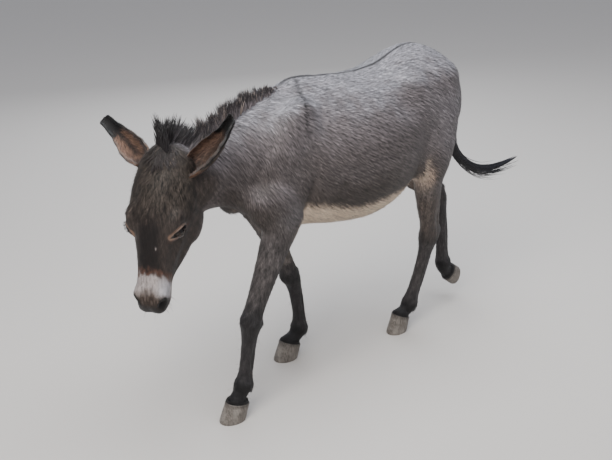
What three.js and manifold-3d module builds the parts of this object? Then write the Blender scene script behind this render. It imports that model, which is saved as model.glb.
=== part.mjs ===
// A young grey-dun donkey, life size, caught in a slow walk with its head low and its ears out sideways.
// Millimetres, +Z up. The donkey faces -Y and +X is its left. The origin is on the ground, under the
// middle of the whole animal's box. The left fore, right fore and left hind hooves stand on the ground,
// and the right hind is in the air.
// The flesh is built whole from lofts, joined to one solid, and parted with thin flat cuts.
import * as THREE from "three";
import { mergeVertices } from "three/addons/utils/BufferGeometryUtils.js";
import Module from "manifold-3d";

const wasm = await Module();
wasm.setup();

// ---------------------------------------------------------------- driving dimensions
const WITHERS_HEIGHT = 1036;
const CROUP_HEIGHT = 1072;
const LOIN_HEIGHT = 1014;
const RUMP_END = 468; // y of the last of the buttocks, under the tail
const CHEST_END = -505; // y of the front of the breast
const SHOULDER = { side: 98, y: -408, z: 742 };
const ELBOW = { side: 108, z: 612 };
const HIP = { side: 100, y: 338, z: 868 };
const FORE = { forearm: 328, cannon: 206, pastern: 60 };
const HIND = { thigh: 240, gaskin: 292, cannon: 271, pastern: 56 };
const FORE_HOOF = { toe: 47, heel: 39, half: 38, slope: 0.42 };
const HIND_HOOF = { toe: 42, heel: 36, half: 33, slope: 0.36 };
const HEAD = { length: 462, poll: [18, -698, 894], pitch: 64, yaw: 33, roll: 3 };
const EYE = { radius: 19, along: 216, side: 74, out: -4 };
const EAR = { length: 228, half: 42, wall: 7 };
const OVERRUN = 12; // how far the leg runs past the coronet before it is trimmed
const HANGING_HOOF = 40; // height of the hoof that is off the ground
const CUT = 0.4; // width of the thin cuts that part the flesh
const GAP = 0.4; // clearance of the eyeballs, ears, mane and hooves from the flesh

// Each leg hangs from its root. Its bones swing forwards of straight down (+) or backwards (-), and lean
// outwards (+) or inwards (-), in degrees.
const GAIT = {
  fore_left: { root: -364, forearm: [24, 1.7], cannon: [15, 1.7], pastern: [23, 1] },
  fore_right: { root: -312, forearm: [-22.6, -2], cannon: [-4, -2.8], pastern: [40, -2] },
  hind_left: { root: HIP.y, thigh: [17, 3], gaskin: [-14, -12], cannon: [16.6, -5], pastern: [44, -5] },
  hind_right: { root: HIP.y, thigh: [10, 3], gaskin: [-46.5, -9], cannon: [-1.5, -6], pastern: [-36, -2] },
};

const HANGING_SOLE = -72; // which way the sole of the raised right hind hoof looks, as a swing

const GREY = "#77706f";
const DARK = "#3b3736";
const BLACK = "#1d1b1c";
const BROWN = "#5d463c";
const WHITE = "#b9b1aa";
const HORN = "#7b766b";

// ---------------------------------------------------------------- small tools
const V = (x, y, z) => new THREE.Vector3(x, y, z);
const at = (p) => V(...p);
const rad = THREE.MathUtils.degToRad;
const mix = (a, b, t) => a.clone().lerp(b, t);

// A smooth function through rows of numbers, each at its own key.
function track(rows) {
  const keys = rows.map((row) => row[0]);
  const width = rows[0].length - 1;
  const spline = new THREE.CubicInterpolant(
    keys,
    rows.flatMap((row) => row.slice(1)),
    width,
    new Float64Array(width),
  );
  return (key) => Array.from(spline.evaluate(key));
}

// Values from a to b, closer together at both ends, so that round ends stay round.
function eased(a, b, count) {
  return Array.from({ length: count + 1 }, (_, i) => {
    const t = i / count;
    const round = (1 - Math.cos(Math.PI * t)) / 2;
    return a + (b - a) * THREE.MathUtils.lerp(t, round, 0.6);
  });
}

// A closed section: side, up and down are half sizes along S and U. A power over 2 is boxier, one under 2 is
// keener.
function section({ centre, S, U, side, up, down, top = 2, bottom = 2, turn = 0 }, around) {
  return Array.from({ length: around }, (_, i) => {
    const angle = (2 * Math.PI * (i + turn)) / around;
    const c = Math.cos(angle);
    const s = Math.sin(angle);
    const power = 2 / (s > 0 ? top : bottom);
    const x = side * Math.sign(c) * Math.abs(c) ** power;
    const y = (s > 0 ? up : down) * Math.sign(s) * Math.abs(s) ** power;
    return centre.clone().addScaledVector(S, x).addScaledVector(U, y);
  });
}

// A closed surface through rings of equal length, with a fan over each end.
function loft(rings) {
  const around = rings[0].length;
  const last = rings.length - 1;
  const middle = (ring) => ring.reduce((sum, p) => sum.add(p), V(0, 0, 0)).divideScalar(around);
  const points = [...rings.flat(), middle(rings[0]), middle(rings[last])];
  const index = [];
  for (let j = 0; j < around; j++) {
    const k = (j + 1) % around;
    for (let i = 0; i < last; i++) {
      const [a, b, c, d] = [i * around + j, i * around + k, (i + 1) * around + k, (i + 1) * around + j];
      index.push(a, b, c, a, c, d);
    }
    index.push(points.length - 2, k, j);
    index.push(points.length - 1, last * around + j, last * around + k);
  }
  return new THREE.BufferGeometry().setFromPoints(points).setIndex(index);
}

// The manifold solid of a closed geometry, whichever way its faces wind.
function solid(geometry) {
  const bare = geometry.clone();
  bare.deleteAttribute("normal");
  bare.deleteAttribute("uv");
  const merged = mergeVertices(bare, 1e-3);
  const vertProperties = merged.attributes.position.array;
  const triVerts = new Uint32Array(merged.index.array);
  const make = () => new wasm.Manifold(new wasm.Mesh({ numProp: 3, vertProperties, triVerts }));
  const made = make();
  if (made.volume() > 0) return made;
  for (let i = 0; i < triVerts.length; i += 3) {
    [triVerts[i + 1], triVerts[i + 2]] = [triVerts[i + 2], triVerts[i + 1]];
  }
  return make();
}

const joined = (...solids) => solids.reduce((all, next) => all.add(next));

function geometryOf(manifold) {
  const mesh = manifold.getMesh();
  const geometry = new THREE.BufferGeometry();
  geometry.setAttribute("position", new THREE.BufferAttribute(mesh.vertProperties, 3));
  geometry.setIndex(new THREE.BufferAttribute(mesh.triVerts, 1));
  return geometry;
}

const largest = (manifold) => manifold.decompose().sort((a, b) => b.volume() - a.volume())[0];

// An egg with half sizes along three directions, as a rounded muscle or bone.
function egg(centre, axes, halves, [wide, high] = [9, 6]) {
  const basis = new THREE.Matrix4().makeBasis(...axes).setPosition(centre);
  const sphere = new THREE.SphereGeometry(1, wide, high).scale(...halves);
  return solid(sphere.applyMatrix4(basis));
}

// A plate that lies across `normal` at `centre`: a thin one parts the flesh.
function plate(centre, normal, width, height, thick = CUT) {
  const box = new THREE.BoxGeometry(width, height, thick);
  const turn = new THREE.Quaternion().setFromUnitVectors(V(0, 0, 1), normal.clone().normalize());
  return solid(box.applyQuaternion(turn).translate(centre.x, centre.y, centre.z));
}

const WORLD = [V(1, 0, 0), V(0, 1, 0), V(0, 0, 1)];
const SIDES = { left: 1, right: -1 };

// ---------------------------------------------------------------- trunk
// Stations from breast to buttocks: y, top, bottom, half width, height of the widest line, and the powers of
// the top and the bottom half.
const TRUNK = track([
  [CHEST_END, 810, 738, 34, 765, 2, 2],
  [-470, 900, 672, 92, 752, 2, 2],
  [-400, 968, 614, 126, 748, 1.9, 2],
  [-310, 1006, 556, 145, 752, 1.75, 2.1],
  [-225, WITHERS_HEIGHT, 546, 161, 765, 1.6, 2.2],
  [-100, 1026, 523, 188, 775, 1.85, 2.3],
  [20, LOIN_HEIGHT, 514, 203, 785, 2.1, 2.3],
  [120, 1024, 532, 196, 805, 2.1, 2.2],
  [200, 1055, 570, 178, 830, 2, 2.1],
  [280, CROUP_HEIGHT, 652, 160, 862, 1.9, 2],
  [360, 1051, 706, 146, 866, 1.9, 2],
  [430, 1000, 738, 116, 866, 2, 2],
  [RUMP_END, 930, 800, 46, 866, 2, 2],
]);

function trunkSolid() {
  const rings = eased(CHEST_END, RUMP_END, 20).map((y) => {
    const [top, bottom, side, wide, powerUp, powerDown] = TRUNK(y);
    const sizes = { side, up: top - wide, down: wide - bottom, top: powerUp, bottom: powerDown };
    return section({ centre: V(0, y, wide), S: WORLD[0], U: WORLD[2], ...sizes }, 16);
  });
  return solid(loft(rings));
}

// Muscles and bony points that stand out on both sides: place, half sizes, and how the top tilts to the rear.
const MUSCLES = {
  blade: { at: [96, -312, 850], halves: [50, 88, 165], tilt: 30 },
  upperArm: { at: [98, -392, 690], halves: [52, 78, 96], tilt: 12 },
  breast: { at: [52, -436, 722], halves: [50, 48, 76], tilt: 0 },
  hipPoint: { at: [112, 190, 948], halves: [46, 76, 52], tilt: -10 },
  croup: { at: [84, 310, 922], halves: [72, 126, 100], tilt: -20 },
};

function muscleForms() {
  const forms = Object.values(MUSCLES).flatMap(({ at: [x, y, z], halves, tilt }) =>
    Object.values(SIDES).map((s) => {
      const turn = new THREE.Matrix4().makeRotationX(rad(-tilt));
      const axes = WORLD.map((axis) => axis.clone().transformDirection(turn));
      return egg(V(s * x, y, z), axes, halves);
    }),
  );
  return joined(...forms);
}

// ---------------------------------------------------------------- head frame
const headTurn = new THREE.Matrix4()
  .makeRotationZ(rad(HEAD.yaw))
  .multiply(new THREE.Matrix4().makeRotationX(rad(HEAD.pitch)))
  .multiply(new THREE.Matrix4().makeRotationY(rad(HEAD.roll)));
const headMatrix = headTurn.clone().setPosition(...HEAD.poll);
// In the head's own frame +X is its left, -Y runs from the poll to the nose and +Z leaves the forehead.
const inHead = (side, along, out) => V(side, -along, out).applyMatrix4(headMatrix);
const headWay = (side, along, out) => V(side, -along, out).transformDirection(headTurn);
const HEAD_AXES = [headWay(1, 0, 0), headWay(0, 1, 0), headWay(0, 0, 1)];

// Stations from behind the poll to the lips: along, forehead line, jaw line, half width, widest line, powers.
const SKULL = track([
  [-48, -20, -75, 22, -48, 2, 2],
  [-30, 6, -104, 52, -52, 2, 2],
  [10, 27, -130, 74, -50, 2.1, 2],
  [70, 43, -144, 89, -44, 2.3, 2],
  [140, 50, -161, 94, -42, 2.4, 2],
  [205, 45, -175, 83, -42, 2.4, 2],
  [255, 34, -170, 69, -42, 2.4, 2.1],
  [310, 20, -144, 57, -42, 2.4, 2.2],
  [360, 8, -111, 51, -42, 2.4, 2.2],
  [405, 0, -97, 53, -44, 2.3, 2.2],
  [437, -11, -92, 49, -48, 2.2, 2.2],
  [456, -26, -82, 35, -52, 2, 2],
  [HEAD.length, -42, -70, 16, -56, 2, 2],
]);

function skullSolid() {
  const rings = eased(-48, HEAD.length, 20).map((along) => {
    const [top, bottom, side, wide, powerUp, powerDown] = SKULL(along);
    const sizes = { side, up: top - wide, down: wide - bottom, top: powerUp, bottom: powerDown };
    const centre = inHead(0, along, wide);
    return section({ centre, S: HEAD_AXES[0], U: HEAD_AXES[2], ...sizes }, 16);
  });
  return solid(loft(rings));
}

// Brow, cheek, chin and nostril swellings, the same on both sides.
function faceForms() {
  const forms = [egg(inHead(0, 418, -84), HEAD_AXES, [27, 30, 17])];
  for (const s of [1, -1]) {
    forms.push(egg(inHead(s * 62, EYE.along - 30, 4), HEAD_AXES, [30, 54, 28]));
    forms.push(egg(inHead(s * 54, 160, -96), HEAD_AXES, [36, 84, 68]));
    forms.push(egg(inHead(s * 33, 418, -28), HEAD_AXES, [22, 30, 22]));
  }
  return joined(...forms);
}

// The line of the closed mouth, as a thin slot across the lips, in the head's frame.
const MOUTH = { size: [140, 62, 1.6], at: [0, -442, -71] };

// The ball and its socket have like facets, so the gap between them is even.
const eyeBall = (s, radius) =>
  egg(inHead(s * EYE.side, EYE.along, EYE.out), HEAD_AXES, Array(3).fill(radius), [12, 8]);

// Eye sockets, the slits between the lids, nostril pits and the line of the mouth.
function faceHollows() {
  const hollows = [];
  const slit = new THREE.BoxGeometry(...MOUTH.size).translate(...MOUTH.at).applyMatrix4(headMatrix);
  hollows.push(solid(slit));
  for (const s of [1, -1]) {
    const eye = inHead(s * EYE.side, EYE.along, EYE.out);
    hollows.push(eyeBall(s, EYE.radius + GAP));
    const outward = headWay(s, -0.05, 0.35);
    const lidLine = headWay(0, 1, -0.25);
    const axes = [outward, lidLine, outward.clone().cross(lidLine)];
    hollows.push(egg(eye.clone().addScaledVector(outward, 22), axes, [22, 17, 9]));
    hollows.push(egg(inHead(s * 43, 436, -30), HEAD_AXES, [14, 13, 10]));
  }
  return joined(...hollows);
}

// ---------------------------------------------------------------- ears
// A long leaf rolled into a cup. Stations: share of the length, half width, cup depth, wall.
const EAR_LEAF = track([
  [0, 33, 32, EAR.wall],
  [0.15, 40, 33, EAR.wall],
  [0.32, EAR.half, 29, EAR.wall],
  [0.52, 36, 22, 6.5],
  [0.7, 26, 15, 6],
  [0.85, 18, 10, 6],
  [0.95, 14, 7, 6],
  [1, 9, 4, 5],
]);

// `way` runs from the base to the tip and `mouth` is where the hollow looks.
function earSolid(base, way, mouth) {
  const U = way.clone().normalize();
  const M = mouth.clone().addScaledVector(U, -mouth.dot(U)).normalize();
  const S = U.clone().cross(M);
  const HALF_AROUND = 6;
  const rings = eased(0, 1, 9).map((t) => {
    const [half, cup, wall] = EAR_LEAF(t);
    const lean = 20 * Math.sin(Math.PI * t);
    const centre = base.clone().addScaledVector(U, t * EAR.length).addScaledVector(M, -lean);
    const sheet = (inset) =>
      Array.from({ length: HALF_AROUND + 1 }, (_, i) => {
        const angle = Math.PI * (i / HALF_AROUND) * 1.14 - Math.PI * 0.07;
        const x = (half - inset) * Math.cos(angle);
        const y = (cup - inset) * (0.35 - Math.sin(angle));
        return centre.clone().addScaledVector(S, x).addScaledVector(M, y);
      });
    return [...sheet(0), ...sheet(wall).reverse()];
  });
  return solid(loft(rings));
}

const EARS = {
  left: { base: inHead(68, 40, -36), way: V(127, 96, 178), mouth: V(0.21, -0.84, 0.4) },
  right: { base: inHead(-68, 22, -24), way: V(-205, -8, 68), mouth: V(0.26, -0.67, 0.7) },
};

// ---------------------------------------------------------------- neck
// Stations: share of the way, x, then y and z of the crest and of the throat, then half width.
const NECK = track([
  [0, 0, -240, 1022, -330, 610, 122],
  [0.3, 0, -330, 996, -450, 648, 108],
  [0.55, 2, -430, 961, -520, 676, 91],
  [0.8, 12, -540, 909, -578, 688, 77],
  [1, 24, -640, 862, -625, 700, 66],
]);

function neckSolid() {
  const rings = eased(0, 1, 8).map((t) => {
    const [x, crestY, crestZ, throatY, throatZ, side] = NECK(t);
    const crest = V(x, crestY, crestZ);
    const centre = mix(crest, V(x, throatY, throatZ), 0.5);
    const half = crest.distanceTo(centre);
    const U = crest.sub(centre).normalize();
    return section({ centre, S: WORLD[0], U, side, up: half, down: half, top: 1.7 }, 14);
  });
  return solid(loft(rings));
}

// ---------------------------------------------------------------- legs
// Direction of a bone: `swing` degrees forwards of straight down, leaning `lean` degrees to +X.
function bone(swing, lean) {
  const [a, b] = [rad(swing), rad(lean)];
  return V(Math.sin(b) * Math.cos(a), -Math.sin(a) * Math.cos(b), -Math.cos(a) * Math.cos(b)).normalize();
}

// From the root joint down along each bone.
function chain(s, root, bones) {
  const joints = [root];
  for (const [length, [swing, lean]] of bones) {
    joints.push(joints.at(-1).clone().addScaledVector(bone(swing, s * lean), length));
  }
  return joints;
}

function foreJoints(s, pose) {
  const { forearm, cannon, pastern } = FORE;
  const elbow = V(s * ELBOW.side, pose.root, ELBOW.z);
  const below = chain(s, elbow, [
    [forearm, pose.forearm],
    [cannon, pose.cannon],
    [pastern + OVERRUN, pose.pastern],
  ]);
  return [V(s * SHOULDER.side, SHOULDER.y, SHOULDER.z), ...below];
}

function hindJoints(s, pose) {
  const { thigh, gaskin, cannon, pastern } = HIND;
  return chain(s, V(s * HIP.side, HIP.y, HIP.z), [
    [thigh, pose.thigh],
    [gaskin, pose.gaskin],
    [cannon, pose.cannon],
    [pastern + OVERRUN, pose.pastern],
  ]);
}

// Stations: number of the joint plus the share of the bone below it, then shift forwards, half width, and
// half depth to the front and to the back.
const FORE_LEG = track([
  [0, 0, 56, 72, 84],
  [0.5, 0, 60, 74, 84],
  [1, 0, 56, 64, 72],
  [1.2, 0, 48, 54, 58],
  [1.5, 2, 39, 42, 42],
  [1.82, 3, 35, 34, 33],
  [1.95, 4, 38, 35, 34],
  [2.07, 3, 37, 34, 35],
  [2.22, 0, 29, 27, 30],
  [2.5, -3, 24, 24, 27],
  [2.8, -3, 26, 25, 29],
  [2.97, 0, 33, 30, 37],
  [3.12, 0, 32, 29, 35],
  [3.4, 2, 28, 27, 29],
  [3.75, 2, 32, 34, 31],
  [4, 2, 34, 37, 32],
]);
const HIND_LEG = track([
  [0, 0, 58, 110, 88],
  [0.5, 0, 62, 94, 94],
  [0.8, 0, 58, 74, 88],
  [1, 0, 54, 58, 82],
  [1.25, 0, 44, 50, 62],
  [1.55, 0, 36, 46, 48],
  [1.8, 0, 31, 40, 42],
  [1.94, 0, 34, 45, 46],
  [2.06, 0, 34, 44, 41],
  [2.24, 0, 28, 31, 30],
  [2.5, -2, 24, 26, 28],
  [2.8, -1, 25, 26, 30],
  [2.97, 0, 31, 30, 37],
  [3.12, 0, 30, 29, 36],
  [3.4, 2, 26, 26, 29],
  [3.75, 2, 29, 31, 31],
  [4, 2, 30, 33, 32],
]);

function legSolid({ path, last, profile }) {
  const RINGS = 21;
  const rings = Array.from({ length: RINGS }, (_, i) => {
    const share = i / (RINGS - 1);
    const [shift, side, front, back] = profile(last * share);
    const way = path.getTangent(share);
    const S = V(0, -1, 0).cross(way).normalize();
    const forward = way.clone().cross(S).normalize();
    const centre = path.getPoint(share).addScaledVector(forward, shift);
    return section({ centre, S, U: forward, side, up: front, down: back }, 9);
  });
  return solid(loft(rings));
}

// The path runs a little past the coronet, where the hoof begins. A hoof on the ground stands flat on it.
function makeLeg(s, kind, pose, planted = true) {
  const fore = kind === "fore";
  const joints = fore ? foreJoints(s, pose) : hindJoints(s, pose);
  const path = new THREE.CatmullRomCurve3(joints, false, "catmullrom", 0.35);
  const [fetlock, end] = joints.slice(-2);
  const way = end.clone().sub(fetlock).normalize();
  const down = planted ? V(0, 0, -1) : bone(HANGING_SOLE, 0);
  // The coronet lies between square to the pastern and level with the sole.
  const normal = way.clone().add(down).normalize();
  const coronet = end.clone().addScaledVector(way, -OVERRUN);
  const kit = fore ? { profile: FORE_LEG, hoof: FORE_HOOF } : { profile: HIND_LEG, hoof: HIND_HOOF };
  return { ...kit, path, last: joints.length - 1, planted, down, normal, coronet };
}

const LEGS = {
  fore_left: makeLeg(1, "fore", GAIT.fore_left),
  fore_right: makeLeg(-1, "fore", GAIT.fore_right),
  hind_left: makeLeg(1, "hind", GAIT.hind_left),
  hind_right: makeLeg(-1, "hind", GAIT.hind_right, false),
};

// A hoof: a cone of horn, longer at the toe, from the coronet to a flat sole, which on the ground is at z 0.
function hoofSolid({ hoof, planted, down, normal, coronet }) {
  const height = planted ? coronet.z : HANGING_HOOF;
  const ahead = (n) => V(0, -1, 0).addScaledVector(n, n.y).normalize();
  const forward = ahead(down);
  const sole = coronet.clone().addScaledVector(down, height).addScaledVector(forward, height * hoof.slope);
  const top = coronet.clone().addScaledVector(normal, GAP);
  const rings = [
    [0, 0.86],
    [0.1, 0.874],
    [0.45, 0.923],
    [0.9, 0.986],
    [1, 0.966],
  ].map(([t, grow]) => {
    const axis = mix(normal, down, t).normalize();
    const U = ahead(axis);
    const S = U.clone().cross(axis);
    const sizes = { side: hoof.half * grow, up: hoof.toe * grow, down: hoof.heel * grow, bottom: 2.6 };
    return section({ centre: mix(top, sole, t), S, U, ...sizes }, 12);
  });
  return solid(loft(rings));
}

// ---------------------------------------------------------------- tail
// The tail leaves the croup, drops close behind the buttocks and swings out behind the animal.
const TAIL = {
  path: new THREE.CatmullRomCurve3(
    [
      [0, 405, 978],
      [0, 466, 956],
      [0, 502, 900],
      [0, 508, 800],
      [0, 502, 725],
      [1, 504, 658],
      [4, 534, 608],
      [12, 580, 567],
      [20, 640, 540],
      [30, 710, 535],
      [38, 775, 545],
      [44, 822, 558],
    ].map(at),
  ),
  half: track([
    [0, 32],
    [0.12, 26],
    [0.3, 19],
    [0.5, 16],
    [0.65, 17],
    [0.82, 16],
    [0.95, 9],
    [1, 3],
  ]),
};

function tailSolid() {
  const STEPS = 20;
  const rings = Array.from({ length: STEPS + 1 }, (_, i) => {
    const t = i / STEPS;
    const S = WORLD[0];
    const U = S.clone().cross(TAIL.path.getTangent(t));
    const [half] = TAIL.half(t);
    return section({ centre: TAIL.path.getPoint(t), S, U, side: half, up: half, down: half }, 8);
  });
  return solid(loft(rings));
}

// ---------------------------------------------------------------- mane
// An upright brush on the crest, from the withers to between the ears, its top edge broken into locks. Its
// section is a spear: half widths at the root, the belly and the tip.
const CREST_SHARES = [0.12, 0.3, 0.5, 0.7, 0.88];
const MANE = {
  path: new THREE.CatmullRomCurve3([
    ...CREST_SHARES.map((t) => V(...NECK(t).slice(0, 3))),
    inHead(0, -34, -8),
    inHead(0, 4, 22),
  ]),
  height: track([
    [0, 4],
    [0.15, 28],
    [0.35, 52],
    [0.55, 72],
    [0.7, 70],
    [0.82, 56],
    [0.92, 60],
    [1, 50],
  ]),
};

function maneSolid() {
  const STEPS = 18;
  const SINK = 18;
  const LOCK = 7; // rise and fall of the locks along the top edge
  const rings = Array.from({ length: STEPS + 1 }, (_, i) => {
    const t = i / STEPS;
    const ahead = MANE.path.getTangent(t);
    const side = V(0, 0, 1).cross(ahead).normalize();
    const rise = V(0, 0, 1).addScaledVector(ahead, 0.2).normalize();
    const root = MANE.path.getPoint(t).addScaledVector(rise, -SINK);
    const height = MANE.height(t)[0] + SINK + (i % 2 ? LOCK : -LOCK);
    const tip = root.clone().addScaledVector(rise, height);
    const belly = mix(root, tip, 0.55);
    const edge = (point, half) => point.clone().addScaledVector(side, half);
    const one = [edge(root, 15), edge(belly, 11), edge(tip, 3)];
    const other = [edge(tip, -3), edge(belly, -11), edge(root, -15)];
    return [...one, ...other];
  });
  return solid(loft(rings));
}

// ---------------------------------------------------------------- joining and parting
// What is trimmed off below the coronet, to make room for the hoof.
const TRIM = 40;
const legEnds = Object.values(LEGS).map(({ coronet, normal }) =>
  plate(coronet.clone().addScaledVector(normal, TRIM / 2), normal, 110, 110, TRIM),
);

const wholeFlesh = joined(
  trunkSolid(),
  muscleForms(),
  neckSolid(),
  skullSolid(),
  faceForms(),
  tailSolid(),
  ...Object.values(LEGS).map(legSolid),
)
  .subtract(faceHollows())
  .subtract(joined(...legEnds));

// Where the flesh is parted: place, the way that the cut faces, width and height.
const along = ({ path, last }, key) => [path.getPoint(key / last), path.getTangent(key / last)];
const CUTS = [
  [V(0, -392, 832), V(0, -0.89, 0.457), 330, 460], // neck from chest
  [inHead(0, 32, -68), headWay(0, 0.757, 0.653), 430, 430], // head from neck
  [inHead(0, 352, -50), headWay(0, 1, 0), 140, 170], // muzzle
  [V(0, -135, 790), V(0, 1, 0), 460, 600], // forequarters from barrel
  [V(0, 165, 800), V(0, 1, 0), 460, 600], // barrel from hindquarters
  [TAIL.path.getPoint(0.2), TAIL.path.getTangent(0.2), 80, 70], // tail from croup
  [TAIL.path.getPoint(0.45), TAIL.path.getTangent(0.45), 80, 80], // switch from dock
];
// Each leg is parted from the body, at the knee or hock, and at the fetlock.
for (const [name, leg] of Object.entries(LEGS)) {
  const fore = name.startsWith("fore");
  const top = fore ? along(leg, 1.3) : [V(Math.sign(leg.coronet.x) * 112, 325, 572), V(0, 0, 1)];
  CUTS.push([...top, 140, fore ? 140 : 260], [...along(leg, 2), 110, 110], [...along(leg, 3), 100, 100]);
}

// The parts that the cuts leave: name, a point inside, colour.
const PARTS = [
  ["head", inHead(0, 150, -60), GREY],
  ["muzzle", inHead(0, 400, -50), WHITE],
  ["neck", V(6, -500, 800), GREY],
  ["forequarters", V(0, -300, 800), GREY],
  ["barrel", V(0, 20, 780), GREY],
  ["hindquarters", V(0, 300, 850), GREY],
  ["tail_dock", TAIL.path.getPoint(0.25), DARK],
  ["tail_switch", TAIL.path.getPoint(0.7), BLACK],
];
for (const [name, leg] of Object.entries(LEGS)) {
  const upper = name.startsWith("fore") ? "forearm" : "gaskin";
  PARTS.push([`${name}_${upper}`, along(leg, 1.6)[0], GREY]);
  PARTS.push([`${name}_cannon`, along(leg, 2.5)[0], DARK]);
  PARTS.push([`${name}_pastern`, along(leg, 3.5)[0], BLACK]);
}

const pieces = wholeFlesh.subtract(joined(...CUTS.map((cut) => plate(...cut)))).decompose();

function pieceAt(point) {
  const bead = egg(point, WORLD, [1, 1, 1]);
  return pieces.find((piece) => piece.intersect(bead).volume() > 0);
}

// A piece that grows out of the flesh: what is left of it outside, a hair's breadth clear.
function outgrowth(manifold, way) {
  const lift = way.clone().setLength(GAP).toArray();
  return largest(manifold.subtract(wholeFlesh).subtract(wholeFlesh.translate(lift)));
}

const donkey = new THREE.Group();

function addNode(name, geometry, color, roughness = 0.9) {
  const material = new THREE.MeshStandardMaterial({ color, roughness, metalness: 0 });
  const mesh = new THREE.Mesh(geometry, material);
  mesh.name = name;
  donkey.add(mesh);
}

for (const [name, point, color] of PARTS) addNode(name, geometryOf(pieceAt(point)), color);
addNode("mane", geometryOf(outgrowth(maneSolid(), V(0, 0, 1))), DARK);
for (const [side, { base, way, mouth }] of Object.entries(EARS)) {
  addNode(`ear_${side}`, geometryOf(outgrowth(earSolid(base, way, mouth), way)), BROWN);
  addNode(`eye_${side}`, geometryOf(eyeBall(SIDES[side], EYE.radius)), BLACK, 0.15);
}
for (const [name, leg] of Object.entries(LEGS)) {
  addNode(`${name}_hoof`, geometryOf(hoofSolid(leg)), HORN, 0.6);
}

// The origin goes on the ground, under the middle of the animal.
const box = new THREE.Box3().setFromObject(donkey);
const middle = box.getCenter(V(0, 0, 0));
donkey.position.set(-middle.x, -middle.y, -box.min.z);

export default donkey;
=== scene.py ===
"""A young grey-dun donkey, still and life size, in mid-stride with its head low and its ears out sideways.

The tables are in millimetres, in the donkey's own frame: it faces -Y, +X is its left and +Z is up. `placed`
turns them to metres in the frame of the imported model. The flesh is built whole from closed lofts, joined into
one skin by a voxel remesh and modelled with soft swellings and hollows. The coat is thin closed tufts on that
skin.
"""

import bpy
import numpy as np
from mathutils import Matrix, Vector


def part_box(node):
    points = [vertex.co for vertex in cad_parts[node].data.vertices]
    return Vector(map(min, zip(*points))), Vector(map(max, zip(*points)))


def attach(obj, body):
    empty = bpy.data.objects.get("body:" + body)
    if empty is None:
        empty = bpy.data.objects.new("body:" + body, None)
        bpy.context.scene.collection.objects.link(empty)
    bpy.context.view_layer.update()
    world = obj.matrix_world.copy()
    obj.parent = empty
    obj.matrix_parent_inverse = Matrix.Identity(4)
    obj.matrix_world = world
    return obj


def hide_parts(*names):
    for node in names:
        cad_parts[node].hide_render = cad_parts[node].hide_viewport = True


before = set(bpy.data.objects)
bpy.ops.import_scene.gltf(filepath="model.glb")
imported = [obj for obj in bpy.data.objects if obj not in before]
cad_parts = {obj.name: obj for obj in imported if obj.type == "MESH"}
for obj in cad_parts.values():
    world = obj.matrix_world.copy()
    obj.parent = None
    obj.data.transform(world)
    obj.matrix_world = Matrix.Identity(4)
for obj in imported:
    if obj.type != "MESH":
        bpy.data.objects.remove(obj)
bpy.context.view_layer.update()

MM = 0.001
LEFT, RIGHT = 1, -1
SIDES = {"left": LEFT, "right": RIGHT}

# ---- driving dimensions
WITHERS_HEIGHT = 1036
CROUP_HEIGHT = 1072
LOIN_HEIGHT = 1014
CHEST_END = -505  # y of the breast
RUMP_END = 468  # y of the buttocks
SHOULDER = (98, -408, 742)
ELBOW = (108, 612)  # x and z; each foreleg has its own y
HIP = (100, 338, 868)
FORE_BONES = (328, 206, 72)  # forearm, cannon, pastern with the stub inside the hoof
HIND_BONES = (240, 292, 271, 68)  # thigh, gaskin, cannon, pastern with the stub
STUB = 12  # how far a leg runs past its coronet, inside the hoof
POLL = np.array([18.0, -698, 894])  # top of the skull, where the head's frame starts
HEAD_TURN = (64, 33, 3)  # pitch, yaw and roll in degrees
HEAD_LENGTH = 462
EYE_NODE = (74, 216, -4)  # side, along and out of the solid eye, in the head's frame
EYE_AT = (71.5, 219.5, -6)  # the eyeball, which sits a little deeper
EYE_RADIUS = 19
COAT = {"trunk": 5, "neck": 5, "head": 3, "leg": 3, "tail": 4}  # depth of the coat over the skin

# Swing forwards of straight down and lean outwards of each bone, in degrees, and the y of the leg's root.
GAIT = {
    "fore_left": (-364, [(24, 1.7), (15, 1.7), (23, 1)]),
    "fore_right": (-312, [(-22.6, -2), (-4, -2.8), (40, -2)]),
    "hind_left": (HIP[1], [(17, 3), (-14, -12), (16.6, -5), (44, -5)]),
    "hind_right": (HIP[1], [(10, 3), (-46.5, -9), (-1.5, -6), (-36, -2)]),
}
HANGING_SOLE = -72  # which way the sole of the raised hoof looks, as a swing
HANGING_HOOF = 40  # height of the raised hoof


# ---- small tools
def unit(v):
    """Vectors scaled to length one."""
    return v / np.maximum(np.linalg.norm(v, axis=-1, keepdims=True), 1e-12)


def dots(a, b):
    """Dot products of rows, kept as a column."""
    return np.sum(a * b, axis=-1, keepdims=True)


def step(low, high, x):
    """Smooth step: 0 below low, 1 above high, with level ends."""
    t = np.clip((x - low) / (high - low), 0, 1)
    return t * t * (3 - 2 * t)


def track(rows):
    """A smooth function through rows of numbers, each at its own key: cubic pieces whose slope at a key is
    the mean of the straight slopes on its two sides."""
    rows = np.array(rows, float)
    keys, values = rows[:, 0], rows[:, 1:]
    slopes = np.diff(values, axis=0) / np.diff(keys)[:, None]
    at_key = np.vstack([slopes[:1], (slopes[1:] + slopes[:-1]) / 2, slopes[-1:]])

    def value(key):
        key = np.clip(np.asarray(key, float), keys[0], keys[-1])
        i = np.clip(np.searchsorted(keys, key, "right") - 1, 0, len(keys) - 2)
        span = keys[i + 1] - keys[i]
        s, h = ((key - keys[i]) / span)[..., None], span[..., None]
        near = (1 + 2 * s) * (1 - s) ** 2 * values[i] + s * (1 - s) ** 2 * h * at_key[i]
        far = s * s * (3 - 2 * s) * values[i + 1] + s * s * (s - 1) * h * at_key[i + 1]
        return near + far

    return value


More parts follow.
